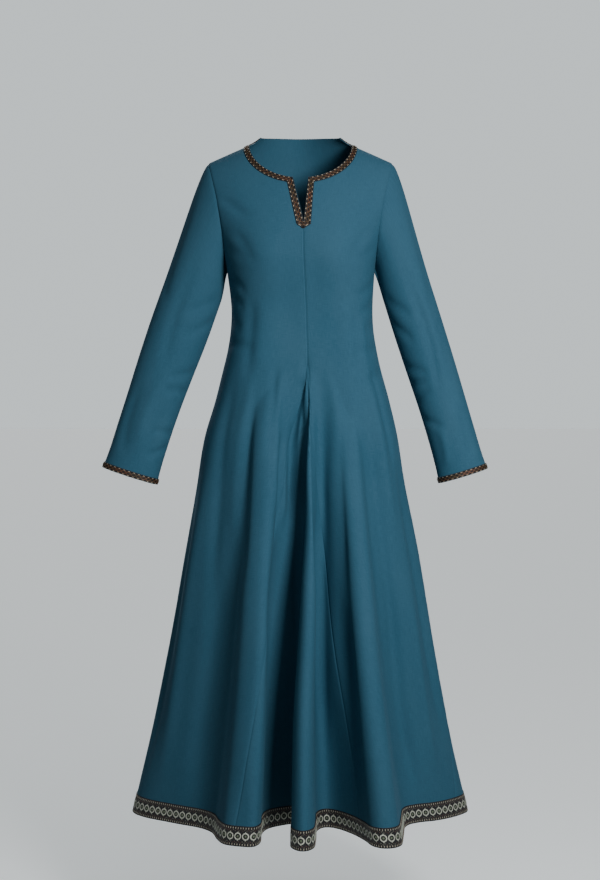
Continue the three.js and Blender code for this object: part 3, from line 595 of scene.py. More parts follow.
def makePlainWeave():
    group, given, result = newGroup(
        "plainWeave",
        [("Vector", "NodeSocketVector", None), ("Threads", "NodeSocketFloat", 1400.0)],
        [("Shade", "NodeSocketFloat"), ("Cloud", "NodeSocketFloat"), ("Height", "NodeSocketFloat")],
    )
    vector, threads = given.outputs["Vector"], given.outputs["Threads"]
    scaled = addNode(group, "ShaderNodeVectorMath", {0: vector, "Scale": threads}, operation="SCALE").outputs[0]
    split = addNode(group, "ShaderNodeSeparateXYZ", {0: scaled})
    warp = mathNode(group, "SINE", mathNode(group, "MULTIPLY", split.outputs[0], math.pi))
    weft = mathNode(group, "SINE", mathNode(group, "MULTIPLY", split.outputs[1], math.pi))
    over = mathNode(group, "MULTIPLY_ADD", mathNode(group, "MULTIPLY", warp, weft), 0.5)
    over.node.inputs[2].default_value = 0.5
    crosswise = stretchedNoise(group, vector, (70, 1500, 1), 2.0)
    lengthwise = stretchedNoise(group, vector, (1300, 55, 1), 2.0)
    slub = mathNode(group, "MULTIPLY", mathNode(group, "ADD", crosswise, lengthwise), 0.5)
    cloud = stretchedNoise(group, vector, (9, 6, 1), 3.0)
    # Shade: mostly slub noise, which is the yarn's own uneven tone, and partly the over-and-under of the weave, which
    # paints the dips between raised threads darker: painted shade at the thread crossings.
    shade = mathNode(group, "MULTIPLY_ADD", over, 0.18)
    group.links.new(mathNode(group, "MULTIPLY", slub, 0.82), shade.node.inputs[2])
    height = mathNode(group, "MULTIPLY_ADD", over, 0.5)
    group.links.new(mathNode(group, "MULTIPLY", slub, 0.8), height.node.inputs[2])
    for title, value in (("Shade", shade), ("Cloud", cloud), ("Height", height)):
        group.links.new(value, result.inputs[title])
    return group


def makeTwist():
    group, given, result = newGroup(
        "threadTwist",
        [("Vector", "NodeSocketVector", None), *((name, "NodeSocketFloat", 1000.0) for name in ("Along", "Across"))],
        [("Stripe", "NodeSocketFloat"), ("Fuzz", "NodeSocketFloat")],
    )
    split = addNode(group, "ShaderNodeSeparateXYZ", {0: given.outputs["Vector"]})
    slant = mathNode(
        group, "ADD",
        mathNode(group, "MULTIPLY", split.outputs[0], given.outputs["Along"]),
        mathNode(group, "MULTIPLY", split.outputs[1], given.outputs["Across"]),
    )
    wave = mathNode(group, "SINE", mathNode(group, "MULTIPLY", slant, 2 * math.pi))
    stripe = mathNode(group, "MULTIPLY_ADD", wave, 0.5)
    stripe.node.inputs[2].default_value = 0.5
    group.links.new(stripe, result.inputs["Stripe"])
    group.links.new(stretchedNoise(group, given.outputs["Vector"], (420, 420, 1), 3.0), result.inputs["Fuzz"])
    return group


plainWeave = makePlainWeave()
threadTwist = makeTwist()


def newMaterial(name, roughness, **constants):
    material = bpy.data.materials.new(name)
    material.use_nodes = True
    tree = material.node_tree
    shader = tree.nodes["Principled BSDF"]
    shader.inputs["Roughness"].default_value = roughness
    for key, value in constants.items():
        shader.inputs[key.replace("_", " ")].default_value = value
    return material, tree, shader


def uvOf(tree):
    return addNode(tree, "ShaderNodeTexCoord").outputs["UV"]


def useGroup(tree, group, uv, inputs):
    node = addNode(tree, "ShaderNodeGroup")
    node.node_tree = group
    tree.links.new(uv, node.inputs["Vector"])
    for key, value in inputs.items():
        node.inputs[key].default_value = value
    return node


def mixColours(tree, share, a, b):
    node = addNode(tree, "ShaderNodeMix", data_type="RGBA")
    tree.links.new(share, node.inputs[0])
    for key, value in ((6, a), (7, b)):
        if isinstance(value, bpy.types.NodeSocket):
            tree.links.new(value, node.inputs[key])
        else:
            node.inputs[key].default_value = (*value, 1)
    return node.outputs[2]


def mapRange(tree, value, low, high, outLow, outHigh):
    return addNode(
        tree, "ShaderNodeMapRange",
        {"Value": value, "From Min": low, "From Max": high, "To Min": outLow, "To Max": outHigh},
    ).outputs[0]


def bumpTo(tree, shader, height, distance, strength):
    bump = addNode(tree, "ShaderNodeBump", {"Height": height, "Distance": distance, "Strength": strength})
    tree.links.new(bump.outputs[0], shader.inputs["Normal"])


clothColours = {"dark": (0.0245, 0.080, 0.129), "light": (0.0425, 0.131, 0.201), "fade": (0.051, 0.142, 0.207)}


def makeClothMaterial():
    material, tree, shader = newMaterial(
        "tealCloth", 0.9, Sheen_Weight=0.1, Sheen_Roughness=0.6, Sheen_Tint=(0.1, 0.32, 0.45, 1),
        Specular_IOR_Level=0.12,
    )
    uv = uvOf(tree)
    weave = useGroup(tree, plainWeave, uv, {"Threads": 1400.0})
    shade = mapRange(tree, weave.outputs["Shade"], 0.28, 0.68, 0.0, 1.0)
    # The cloth runs from dark to light teal by this value: real slub tone, plus painted shade between the crossing
    # threads where the weave's bump dips.
    weaveToneAndShade = mixColours(tree, shade, clothColours["dark"], clothColours["light"])
    cloud = mapRange(tree, weave.outputs["Cloud"], 0.35, 0.75, 0.0, 0.3)
    tree.links.new(mixColours(tree, cloud, weaveToneAndShade, clothColours["fade"]), shader.inputs["Base Color"])
    tree.links.new(mapRange(tree, weave.outputs["Shade"], 0.2, 0.8, 0.92, 0.78), shader.inputs["Roughness"])
    bumpTo(tree, shader, weave.outputs["Height"], 0.00025, 0.55)
    return material


def makeThreadMaterial(name, shadedThreadColour, litThreadColour, along, across, roughness, metallic=0.0, bump=0.5):
    material, tree, shader = newMaterial(name, roughness, Metallic=metallic, Specular_IOR_Level=0.4)
    uv = uvOf(tree)
    twist = useGroup(tree, threadTwist, uv, {"Along": along, "Across": across})
    # The twist's stripe, which is also the bump, paints the grooves in the shaded colour and the ridges in the lit one:
    # painted shade in the grooves and a painted highlight on the ridges.
    mixed = mixColours(tree, mapRange(tree, twist.outputs["Stripe"], 0.15, 0.85, 0.0, 1.0), shadedThreadColour, litThreadColour)
    worn = mixColours(tree, mapRange(tree, twist.outputs["Fuzz"], 0.35, 0.7, 0.0, 0.45), mixed, shadedThreadColour)
    tree.links.new(worn, shader.inputs["Base Color"])
    rough = mapRange(tree, twist.outputs["Fuzz"], 0.2, 0.8, roughness - 0.08, roughness + 0.12)
    tree.links.new(rough, shader.inputs["Roughness"])
    bumpTo(tree, shader, twist.outputs["Stripe"], 0.0002, bump)
    return material


def makeStrandMaterial():
    material, tree, shader = newMaterial("copperStrand", 0.45, Metallic=0.35, Specular_IOR_Level=0.5)
    uv = uvOf(tree)
    twist = useGroup(tree, threadTwist, uv, {"Along": 620.0, "Across": 900.0})
    split = addNode(tree, "ShaderNodeSeparateXYZ", {0: uv})
    drift = stretchedNoise(tree, uv, (26, 0, 1), 1.0)
    body = mixColours(tree, mapRange(tree, drift, 0.38, 0.62, 0.0, 1.0), (0.050, 0.036, 0.016), (0.125, 0.040, 0.019))
    # The strand's two flanks are painted pale gold: a painted highlight along its edges.
    edge = mapRange(tree, split.outputs[1], 0.0009, 0.0017, 0.0, 1.0)
    sideHighlighted = mixColours(tree, edge, body, (0.19, 0.115, 0.045))
    # The twist's grooves are painted nearly black: painted shade between the plies, following the bump.
    shaded = mixColours(tree, mapRange(tree, twist.outputs["Stripe"], 0.0, 0.5, 0.55, 0.0), sideHighlighted, (0.03, 0.018, 0.008))
    tree.links.new(shaded, shader.inputs["Base Color"])
    tree.links.new(mapRange(tree, twist.outputs["Fuzz"], 0.2, 0.8, 0.36, 0.6), shader.inputs["Roughness"])
    bumpTo(tree, shader, twist.outputs["Stripe"], 0.0002, 0.7)
    return material


def makeLeafMaterial():
    material, tree, shader = newMaterial("leafThread", 0.6, Specular_IOR_Level=0.4)
    uv = uvOf(tree)
    choice = addNode(tree, "ShaderNodeTexWhiteNoise", {"Vector": uv}, noise_dimensions="3D").outputs["Value"]
    colour = mixColours(tree, mapRange(tree, choice, 0.3, 0.32, 0, 1), (0.115, 0.12, 0.095), (0.055, 0.04, 0.024))
    colour = mixColours(tree, mapRange(tree, choice, 0.68, 0.7, 0, 1), colour, (0.07, 0.024, 0.018))
    tree.links.new(colour, shader.inputs["Base Color"])
    place = addNode(tree, "ShaderNodeTexCoord").outputs["Object"]
    twist = useGroup(tree, threadTwist, place, {"Along": 1500.0, "Across": 900.0})
    bumpTo(tree, shader, twist.outputs["Stripe"], 0.0002, 0.5)
    return material


clothMaterial = makeClothMaterial()
# The two colours given to each thread below are that thread in painted shade and under a painted highlight.
bandMaterial = makeThreadMaterial("blackBand", (0.003, 0.003, 0.005), (0.009, 0.009, 0.012), 1400.0, 1400.0, 0.62)
cordMaterial = makeThreadMaterial("blackCord", (0.005, 0.005, 0.006), (0.026, 0.025, 0.024), 620.0, 300.0, 0.55)
creamMaterial = makeThreadMaterial("creamThread", (0.40, 0.35, 0.26), (0.62, 0.58, 0.46), 1800.0, 900.0, 0.6)
strandMaterial = makeStrandMaterial()
silverMaterial = makeThreadMaterial("silverThread", (0.44, 0.46, 0.38), (0.66, 0.68, 0.58), 2000.0, 1300.0, 0.42, 0.25)
sageMaterial = makeThreadMaterial("sageThread", (0.11, 0.15, 0.09), (0.22, 0.27, 0.17), 1800.0, 900.0, 0.6)
leafMaterial = makeLeafMaterial()
seamThreadMaterial = makeThreadMaterial("tealThread", (0.018, 0.085, 0.13), (0.034, 0.15, 0.215), 3000.0, 1500.0, 0.7)
print("materials made")


# Body cloth: two front panels, the gore and the back

grains = {"front": 42, "gore": 4, "back": 180}  # bearings that the threads hang straight along
tipHalf = 0.05  # degrees to either side of the gore's tip


def seamLine(table, side):
    return lambda at: float(readTable(table, sideNames[side], at))


def frontPanel(side):
    def inner(at):
        return float(centreBearing(at)) if at > levels["goreTop"] else seamLine(goreSeams, side)(at)

    edges = (inner, seamLine(sideSeams, side), lambda at: (True, True))
    rows = lowerRows(*edges, levels["hem"], levels["goreTop"])
    rows += lowerRows(*edges, levels["goreTop"], levels["bodice"])[1:]
    rows += upperRows(frontInner, side, False, slitRow, True)
    return bodyCloth(f"frontPanel{sideNames[side].title()}", [(rows, side < 0)], side * grains["front"], clothMaterial)


def backPanel():
    strips = []
    for side in (1, -1):
        edges = (lambda at: side * 180.0, seamLine(sideSeams, side), lambda at: (False, True))
        rows = lowerRows(*edges, levels["hem"], levels["bodice"])
        rows += upperRows(backInner, side, True, napeRow, False)
        strips.append((rows, side > 0))
    return bodyCloth("backPanel", strips, grains["back"], clothMaterial)


def goreCloth():
    edges = (seamLine(goreSeams, -1), seamLine(goreSeams, 1), lambda at: (True, True))
    rows = lowerRows(*edges, levels["hem"], levels["goreTop"], clothLook["goreAcross"])
    tip = evenLevels(levels["goreTop"], levels["bodice"])[1]
    middle = centreBearing(tip)
    rows.append(clothRow((middle - tipHalf, tip), (middle + tipHalf, tip), (False, False)))
    return bodyCloth("frontGore", [(rows, False)], grains["gore"], clothMaterial)


leftPanel, rightPanel, gore, back = frontPanel(1), frontPanel(-1), goreCloth(), backPanel()
wear(leftPanel, "cloth", "front_panel_left")
wear(rightPanel, "cloth", "front_panel_right")
wear(gore, "cloth", "front_gore")
wear(back, "cloth", "back_panel")
print("body cloth made")


# Sleeves

sleeveLook = {"columns": 96, "capRows": 15, "crowding": 1.35, "rowsToStation": 10, "topPull": 17, "underPull": 12,
              "ringPull": 0.42, "underLift": 0.3, "armholeDip": 0.8, "dipWidth": 3.0, "seamWidth": 2.2,
              "creaseStart": 20, "creaseBow": 0.05, "out": 0.7, "fall": 0.65, "sway": 0.2, "firstStep": 0.2}
seamStart, seamEnd = 180, 540  # a sleeve's rows start and end at the seam under the arm
ringSteps = 240
stationMm, angleMm = 73, 0.87  # rough length of a step between stations and of a degree round the arm

sleeves = {
    "left": {"side": 1, "lean": 17, "stations": makeTable("step x y z half depth", [
        (0, 214, 0, -292, 50, 54), (1, 237, -2, -366, 50, 52), (2, 260, -9, -440, 49, 50),
        (3, 280, -18, -506, 47.5, 47), (4, 297, -28, -566, 47, 44), (5, 311, -36, -618, 47.5, 41),
        (6, 320.5, -42, -654, 49.5, 39),
    ])},
    "right": {"side": -1, "lean": 18, "stations": makeTable("step x y z half depth", [
        (0, -217, 0, -292, 60, 53), (1, -243, -2, -366, 60, 51), (2, -269, -9, -440, 57.5, 49),
        (3, -291, -18, -506, 55, 46), (4, -310, -28, -566, 54, 44), (5, -325.5, -36, -618, 54, 41),
        (6, -336.5, -42, -654, 56, 39),
    ])},
}
lastStation = 6

# angle round the arm (0 outside, 90 front, 180 inside) and station of both ends, half width and height in mm
sleeveCreases = {
    "left": [
        (88, -0.6, 100, 3.1, 9, -3.6), (72, -0.2, 80, 2.6, 11, 3.0), (168, -0.1, 96, 0.7, 8, -3.2),
        (178, 0.5, 108, 1.3, 8, -3.4), (182, 1.7, 96, 2.2, 7, -3.6), (184, 2.3, 100, 2.35, 7, -3.8),
        (182, 2.9, 92, 2.6, 7, -3.4), (180, 3.3, 104, 3.8, 8, -3.2), (60, 3.2, 72, 5.4, 10, -2.6),
        (120, 3.6, 128, 5.3, 9, 2.4), (20, -0.7, 48, 0.6, 12, -2.6), (194, 0.2, 258, 0.9, 9, -3.4),
        (190, 1.9, 262, 2.3, 8, -3.6), (188, 2.5, 266, 2.5, 8, -3.6), (270, -0.4, 280, 2.2, 11, -3.2),
        (300, 0.8, 312, 3.8, 12, 2.8), (262, 3.1, 276, 5.3, 10, -2.8),
    ],
    "right": [
        (84, -0.5, 96, 2.2, 10, -3.2), (104, 2.0, 94, 4.8, 11, 3.0), (166, -0.1, 92, 0.6, 9, -3.2),
        (178, 0.4, 102, 1.2, 8, -3.2), (182, 1.8, 98, 2.3, 7, -3.4), (184, 2.5, 94, 2.6, 7, -3.6),
        (182, 3.8, 104, 3.9, 7, -3.4), (180, 4.2, 112, 4.8, 8, -2.8), (58, 2.4, 70, 5.2, 11, -2.8),
        (126, 2.9, 130, 5.2, 9, -2.4), (20, -0.7, 46, 0.5, 12, -2.6), (194, 0.3, 256, 1.0, 9, -3.4),
        (190, 2.0, 260, 2.4, 8, -3.6), (188, 2.7, 264, 2.6, 8, -3.4), (272, -0.4, 282, 2.3, 11, -3.2),
        (298, 0.9, 310, 3.9, 12, 2.8), (264, 3.2, 274, 5.2, 10, -2.8),
    ],
}


def armPoint(sleeve, angle, at):
    read = lambda name: readTable(sleeve["stations"], name, at)
    lean = math.radians(sleeve["lean"])
    out = read("half") * np.cos(np.radians(angle))
    return np.stack([
        read("x") + sleeve["side"] * math.cos(lean) * out,
        read("y") - read("depth") * np.sin(np.radians(angle)),
        read("z") + math.sin(lean) * out,
    ], -1)


def armholeRing(side, angles):
    rows = np.linspace(lastArmholeRow, 0, ringSteps)
    angles = angles % turn
    picked = np.empty((len(angles), 2))
    for onBack, half, start in ((False, angles <= 180, 0), (True, angles > 180, 180)):
        places = armholePlace(side, onBack, rows[::-1] if onBack else rows)
        lengths = lengthsOf(clothBody(places[:, 0], places[:, 1]))
        wanted = (angles[half] - start) / 180 * lengths[-1]
        for column in (0, 1):
            picked[half, column] = np.interp(wanted, lengths, places[:, column])
    return picked


def sleeveCreaseHeight(creases, angle, at):
    height = np.zeros(np.broadcast(angle, at).shape)
    for angleA, atA, angleB, atB, width, rise in creases:
        aside, down = bearingFrom(angleA, angle) * angleMm, (at - atA) * stationMm
        run, fall = (angleB - angleA) * angleMm, (atB - atA) * stationMm
        along, off = crossCrease(aside, down, run, fall, sleeveLook["creaseBow"])
        height += rise * np.exp(-((off / width) ** 2)) * fadeEnds(along)
    return height


def sleeveCloth(name):
    sleeve, look = sleeves[name], sleeveLook
    side = sleeve["side"]
    angles = np.linspace(seamStart, seamEnd, look["columns"] + 1)
    ring = armholeRing(side, angles)
    root = clothBody(ring[:, 0], ring[:, 1], -clothLook["seamDip"])
    rootNormal = normalOf(clothBody, ring[:, 0], ring[:, 1], normalSteps["armhole"])
    around = np.cos(np.radians(angles))
    under = ((1 - around) / 2)[:, None]
    sway = look["sway"] * around
    leave = unit(np.stack([side * (look["out"] + sway), 0 * around, sway - look["fall"]], -1))
    firstRing = armPoint(sleeve, angles, 0.0)
    downArm = unit(armPoint(sleeve, angles, look["firstStep"]) - firstRing)
    start = root + rootNormal * look["underLift"] * under**2
    reach = np.linalg.norm(start - firstRing, axis=-1, keepdims=True)
    controls = (start, start + leave * lerp(look["topPull"], look["underPull"], under),
                firstRing - downArm * look["ringPull"] * reach, firstRing)
    grid, steps = [], []
    for i in range(look["capRows"]):
        t = (i / look["capRows"]) ** look["crowding"]
        weights = ((1 - t) ** 3, 3 * t * (1 - t) ** 2, 3 * t * t * (1 - t), t**3)
        grid.append(sum(weight * control for weight, control in zip(weights, controls)))
        steps.append(t - 1)
    for at in np.linspace(0, lastStation, lastStation * look["rowsToStation"] + 1):
        grid.append(armPoint(sleeve, angles, at))
        steps.append(at)
    grid, steps = np.array(grid), np.array(steps)
    wrapped = np.concatenate([grid[:, -2:-1], grid, grid[:, 1:2]], axis=1)
    normal = unit(np.cross(wrapped[:, 2:] - wrapped[:, :-2], np.gradient(grid, axis=0)) * side)
    rise = sleeveCreaseHeight(sleeveCreases[name], angles[None, :], steps[:, None])
    down = np.concatenate([[0], np.cumsum(np.linalg.norm(np.diff(grid, axis=0), axis=-1).mean(axis=1))])
    rise *= np.clip(down / look["creaseStart"], 0, 1)[:, None]
    rise -= look["armholeDip"] * np.exp(-((down / look["dipWidth"]) ** 2))[:, None]
    fromSeam = np.minimum(angles - seamStart, seamEnd - angles) * angleMm
    rise -= clothLook["seamDip"] * np.exp(-((fromSeam / look["seamWidth"]) ** 2))[None, :]
    grid = grid + normal * rise[..., None]
    uvs = np.stack(np.broadcast_arrays((angles - turn)[None, :] * angleMm * mm, -down[:, None] * mm), -1)
    faces = zipRows(list(grid[::-1]), side > 0)
    obj = addMesh(f"sleeve{name.title()}", grid[::-1].reshape(-1, 3), faces, uvs[::-1].reshape(-1, 2))
    finishCloth(obj, clothMaterial)
    return obj


sleeveObjects = {name: sleeveCloth(name) for name in ("left", "right")}
for name, obj in sleeveObjects.items():
    wear(obj, "cloth", f"sleeve_{name}")
print("sleeves made")


# Bands that lie on the cloth

def sweep(name, rings, material, uvs, closed=False):
    count, size = rings.shape[:2]
    index = np.arange(count * size).reshape(count, size)
    faces = []
    for i in range(count if closed else count - 1):
        a, b = index[i], index[(i + 1) % count]
        faces += [(a[j], a[(j + 1) % size], b[(j + 1) % size], b[j]) for j in range(size)]
    if not closed:
        faces += [tuple(index[0][::-1]), tuple(index[-1])]
    obj = addMesh(name, rings.reshape(-1, 3), faces, uvs.reshape(-1, 2))
    tidyMesh(obj, True)
    bpy.ops.object.shade_smooth_by_angle(angle=math.radians(40))
    obj.data.materials.append(material)
    return obj


def modelOnce(addPrimitive, shape=None):
    addPrimitive()
    obj = bpy.context.object
    if shape:
        shape(obj)
    bpy.ops.object.transform_apply(location=True, rotation=True, scale=True)
    points = np.array([vertex.co[:] for vertex in obj.data.vertices])
    faces = [tuple(face.vertices) for face in obj.data.polygons]
    bpy.ops.object.delete()
    return points, faces


def copyAlong(name, model, places, surface, material, turned=None, onePerCopy=False):
    points, faces = model
    places = np.asarray(places, float)
    shape = np.broadcast_to(points, (len(places), *points.shape)).copy()
    if turned is not None:
        turned = np.asarray(turned)[:, None]
        u, v = shape[..., 0].copy(), shape[..., 1].copy()
        shape[..., 0] = u * np.cos(turned) - v * np.sin(turned)
        shape[..., 1] = u * np.sin(turned) + v * np.cos(turned)
    u = shape[..., 0] + places[:, 0:1]
    v = shape[..., 1] + places[:, 1:2]
    made = surface(u.ravel(), v.ravel(), shape[..., 2].ravel())
    uvs = np.broadcast_to(places[:, None, :2], (*u.shape, 2)) if onePerCopy else np.stack([u, v], -1)
    allFaces = [tuple(i * len(points) + corner for corner in face) for i in range(len(places)) for face in faces]
    obj = addMesh(name, made, allFaces, uvs.reshape(-1, 2) * mm)
    tidyMesh(obj, True)
    bpy.ops.object.shade_smooth_by_angle(angle=math.radians(50))
    obj.data.materials.append(material)
    return obj


def beadModel(segments, scale):
    return modelOnce(lambda: bpy.ops.mesh.primitive_uv_sphere_add(
        segments=segments, ring_count=4, radius=1, rotation=(0, math.pi / 2, 0), scale=scale
    ))


def coneModel(corners, radius, depth, lift, shape=None):
    return modelOnce(
        lambda: bpy.ops.mesh.primitive_cone_add(vertices=corners, radius1=radius, depth=depth, location=(0, 0, lift)),
        shape,
    )


def liftedModel(model, lift):
    return model[0] + (0, 0, lift), model[1]


def bothSides(stops, aside, middle=0.0):
    return [(u, middle + side * aside) for u in stops for side in (-1, 1)]


def gridUv(along, across):
    return np.stack(np.broadcast_arrays(along[:, None] * mm, across[None, :] * mm), -1)


stitchModel = beadModel(5, (0.32, 0.32, 1.15))
tickModel = beadModel(6, (0.45, 0.72, 2.0))

# Braid: a black band with raised edges, two strands that cross over and under, and cream ticks
braidLook = {"width": 11.5, "pitch": 10.0, "step": 1.25, "floor": 1.15, "swing": 2.75, "sharpness": 0.08,
             "strandHalf": 1.02, "strandHigh": 0.55, "strandWiden": 0.3, "strandWrap": 1.6, "strandLift": 1.55,
             "weave": 0.34, "cordAside": 4.95, "cordLift": 1.35, "cordRadius": 0.62}
braidTickLook = {"spacing": braidLook["pitch"], "aside": 4.3, "lift": braidLook["floor"] + 0.45}
braidStitchLook = {"spacing": 4.0, "aside": 6.1, "lift": 0.35}
cordCorners = np.radians(np.arange(8) * 45 + 22.5)
bandProfile = np.array([
    (-5.75, 0.35), (-5.7, 1.0), (-5.2, 1.4), (-4.2, 1.4), (-3.9, 1.15), (0, 1.15),
    (3.9, 1.15), (4.2, 1.4), (5.2, 1.4), (5.7, 1.0), (5.75, 0.35), (0, 0.35),
])


def zigzag(share):
    return np.sin(share) + braidLook["sharpness"] * np.sin(3 * share)


def profileLengths(profile):
    return lengthsOf(np.concatenate([profile, profile[:1]]))[:-1]


def makeBraid(name, rows, point, slotNodes, closed):
    look = braidLook
    s = rows["s"]

    def lay(title, across, lift, material, uvAcross):
        uvs = gridUv(s, uvAcross)
        across, lift = (np.broadcast_to(values, uvs.shape[:2]) for values in (across, lift))
        return sweep(title, point(rows, across, lift), material, uvs, closed)

    base = lay(name, bandProfile[None, :, 0], bandProfile[None, :, 1], bandMaterial, profileLengths(bandProfile))
    aside, up = np.sin(cordCorners)[None, :], np.cos(cordCorners)[None, :]
    parts = []
    for i, phase in enumerate((0, math.pi)):
        turnings = np.pi * s / look["pitch"]
        middle = look["swing"] * zigzag(turnings + phase)
        high = look["strandLift"] + look["weave"] * np.cos(turnings + phase)
        widened = look["strandHalf"] * (1 + look["strandWiden"] * np.abs(np.cos(turnings)))
        parts.append(lay(
            f"{name}Strand{i + 1}", middle[:, None] + widened[:, None] * aside, high[:, None] + look["strandHigh"] * up,
            strandMaterial, np.abs(aside[0]) * look["strandHalf"] * look["strandWrap"],
        ))
    for i, edge in enumerate((-1, 1)):
        parts.append(lay(
            f"{name}Cord{i + 1}", edge * look["cordAside"] + look["cordRadius"] * aside,
            look["cordLift"] + look["cordRadius"] * up, cordMaterial, cordCorners * look["cordRadius"],
        ))
    wear(base, "braid", *slotNodes)
    for part in parts:
        wear(part, "braid")
    return base, parts


def dressBraid(tickName, stitchName, length, surface):
    made = []
    for name, model, material, look in (
        (tickName, tickModel, creamMaterial, braidTickLook), (stitchName, stitchModel, cordMaterial, braidStitchLook)
    ):
        places = bothSides(np.arange(look["spacing"] / 2, length, look["spacing"]), look["aside"])
        made.append(copyAlong(name, liftedModel(model, look["lift"]), places, surface, material))
        wear(made[-1], "braid")
    return made


# Neck braid: up one side of the slit, round the neckline, down the other side

braidCornerAngle = math.degrees(math.acos(slit["braidCornerX"] / braidEdge["halfWidth"]))
mitres = {
    side: np.array([neckLook(neckEdge, cornerAngle, side, False), neckLook(braidEdge, braidCornerAngle, side, False)])
    for side in (1, -1)
}
slitBottom = np.array(slit["bottom"], float)
slitFeet = {side: slitBottom + (side * slit["footOut"], -slit["footDown"]) for side in (1, -1)}


def slitLook(side, share, across):
    foot, mitre = slitFeet[side], mitres[side]
    inner = slitBottom + (mitre[0] - slitBottom) * share[..., None]
    rise = (inner[..., 1:] - slitBottom[1]) / (mitre[1][1] - foot[1])
    outer = foot + (mitre[1] - foot) * rise
    return inner + (outer - inner) * across[..., None]


def fanLook(side, share, across):
    foot = slitFeet[side]
    outer = foot + (np.array(slit["braidBottom"], float) - foot) * share[..., None]
    return slitBottom + (outer - slitBottom) * across[..., None]


def bandLook(side, part, at, across):
    if part == "fan":
        return fanLook(side, at, across)
    if part == "slit":
        look = slitLook(side, at, across)
    else:
        inner = neckLook(neckEdge, at, side, part == "back")
        look = inner + (neckLook(braidEdge, at, side, part == "back") - inner) * across[..., None]
    if part == "back":
        return look
    a, b = mitres[side]  # the mitre at the slit's corner: neither strip passes this line
    x, z = look[..., 0], look[..., 1]
    if part == "slit":
        line = a[1] + (b[1] - a[1]) * np.clip((x - a[0]) / (b[0] - a[0]), 0, 1)
        look[..., 1] = np.where(z > line, line, z)
    else:
        line = a[0] + (b[0] - a[0]) * np.clip((z - a[1]) / (b[1] - a[1]), -1, 2)
        look[..., 0] = np.where(side * (x - line) < 0, line, x)
    return look


def bandPlaces(side, part, at, across):
    look = bandLook(side, part, at, across)
    return placeAt(look[..., 0], look[..., 1], part == "back")


# first and last place of each part, and how much its measured points crowd at the shoulder
bandParts = {"fan": (1.0, 0.0, 1.0), "slit": (0.0, 1.0, 1.0), "neck": (cornerAngle, 0.0, 2.2), "back": (0.0, 90.0, 2.2)}
bandSteps = 500


def measureBand(side):
    tables, start = {}, 0.0
    for part, (first, last, crowding) in bandParts.items():
        share = np.linspace(0, 1, bandSteps)
        share = share**crowding if part == "back" else 1 - (1 - share) ** crowding
        at = lerp(first, last, share)
        places = bandPlaces(side, part, at, np.full(len(at), 0.5))
        lengths = lengthsOf(foldedBody(places[:, 0], places[:, 1]))
        tables[part] = (lengths + start, at)
        start += lengths[-1]
    return tables, start


bandTables = {side: measureBand(side) for side in (1, -1)}


def evenPitches(length):
    return round(length / (2 * braidLook["pitch"])) * 2


def neckRows():
    entries = []
    total = bandTables[1][1] + bandTables[-1][1]
    for side in (1, -1):
        found = []
        for part, (lengths, at) in bandTables[side][0].items():
            low, high = lengths[0], lengths[-1]
            stops = np.linspace(low, high, max(3, round((high - low) / braidLook["step"])) + 1)
            found += [(stop if side > 0 else total - stop, side, part, np.interp(stop, lengths, at)) for stop in stops]
        entries += found[::side]
    stops, sides, parts, at = map(np.array, zip(*entries))
    s = stops * evenPitches(total) * braidLook["pitch"] / total
    return {"s": s, "side": sides, "part": parts, "at": at, "total": total}


def neckBandPoint(rows, across, lift):
    share = 0.5 + across / braidLook["width"]
    made = np.empty((*across.shape, 3))
    for side in (1, -1):
        for part in bandParts:
            chosen = (rows["side"] == side) & (rows["part"] == part)
            if chosen.any():
                along = np.broadcast_to(rows["at"][chosen][:, None], share[chosen].shape)
                made[chosen] = liftedBody(bandPlaces(side, part, along, share[chosen]), lift[chosen])
    return made


neckRowTable = neckRows()
neckLength = evenPitches(neckRowTable["total"]) * braidLook["pitch"]
neckBraid, neckParts = makeBraid("neckBraid", neckRowTable, neckBandPoint, ["neck_braid"], False)


def neckSurface(u, v, h):
    total, half, room = neckRowTable["total"], bandTables[1][1], 1e-9
    s = np.clip(u * (total / neckLength), 0, total)
    made = np.empty((len(s), 3))
    for side in (1, -1):
        local = s if side > 0 else total - s
        mine = (s <= half) if side > 0 else (s > half)
        for part, (lengths, at) in bandTables[side][0].items():
            chosen = mine & (local >= lengths[0] - room) & (local <= lengths[-1] + room)
            if chosen.any():
                share = 0.5 + v[chosen] / braidLook["width"]
                places = bandPlaces(side, part, np.interp(local[chosen], lengths, at), share)
                made[chosen] = liftedBody(places, h[chosen])
    return made


neckParts += dressBraid("neckTicks", "neckBraidStitches", neckLength, neckSurface)
print("neck braid made")


# Cuff braids

cuffLook = {"turnStep": 0.2, "stationStep": 0.01, "slope": 0.98, "angles": 721}


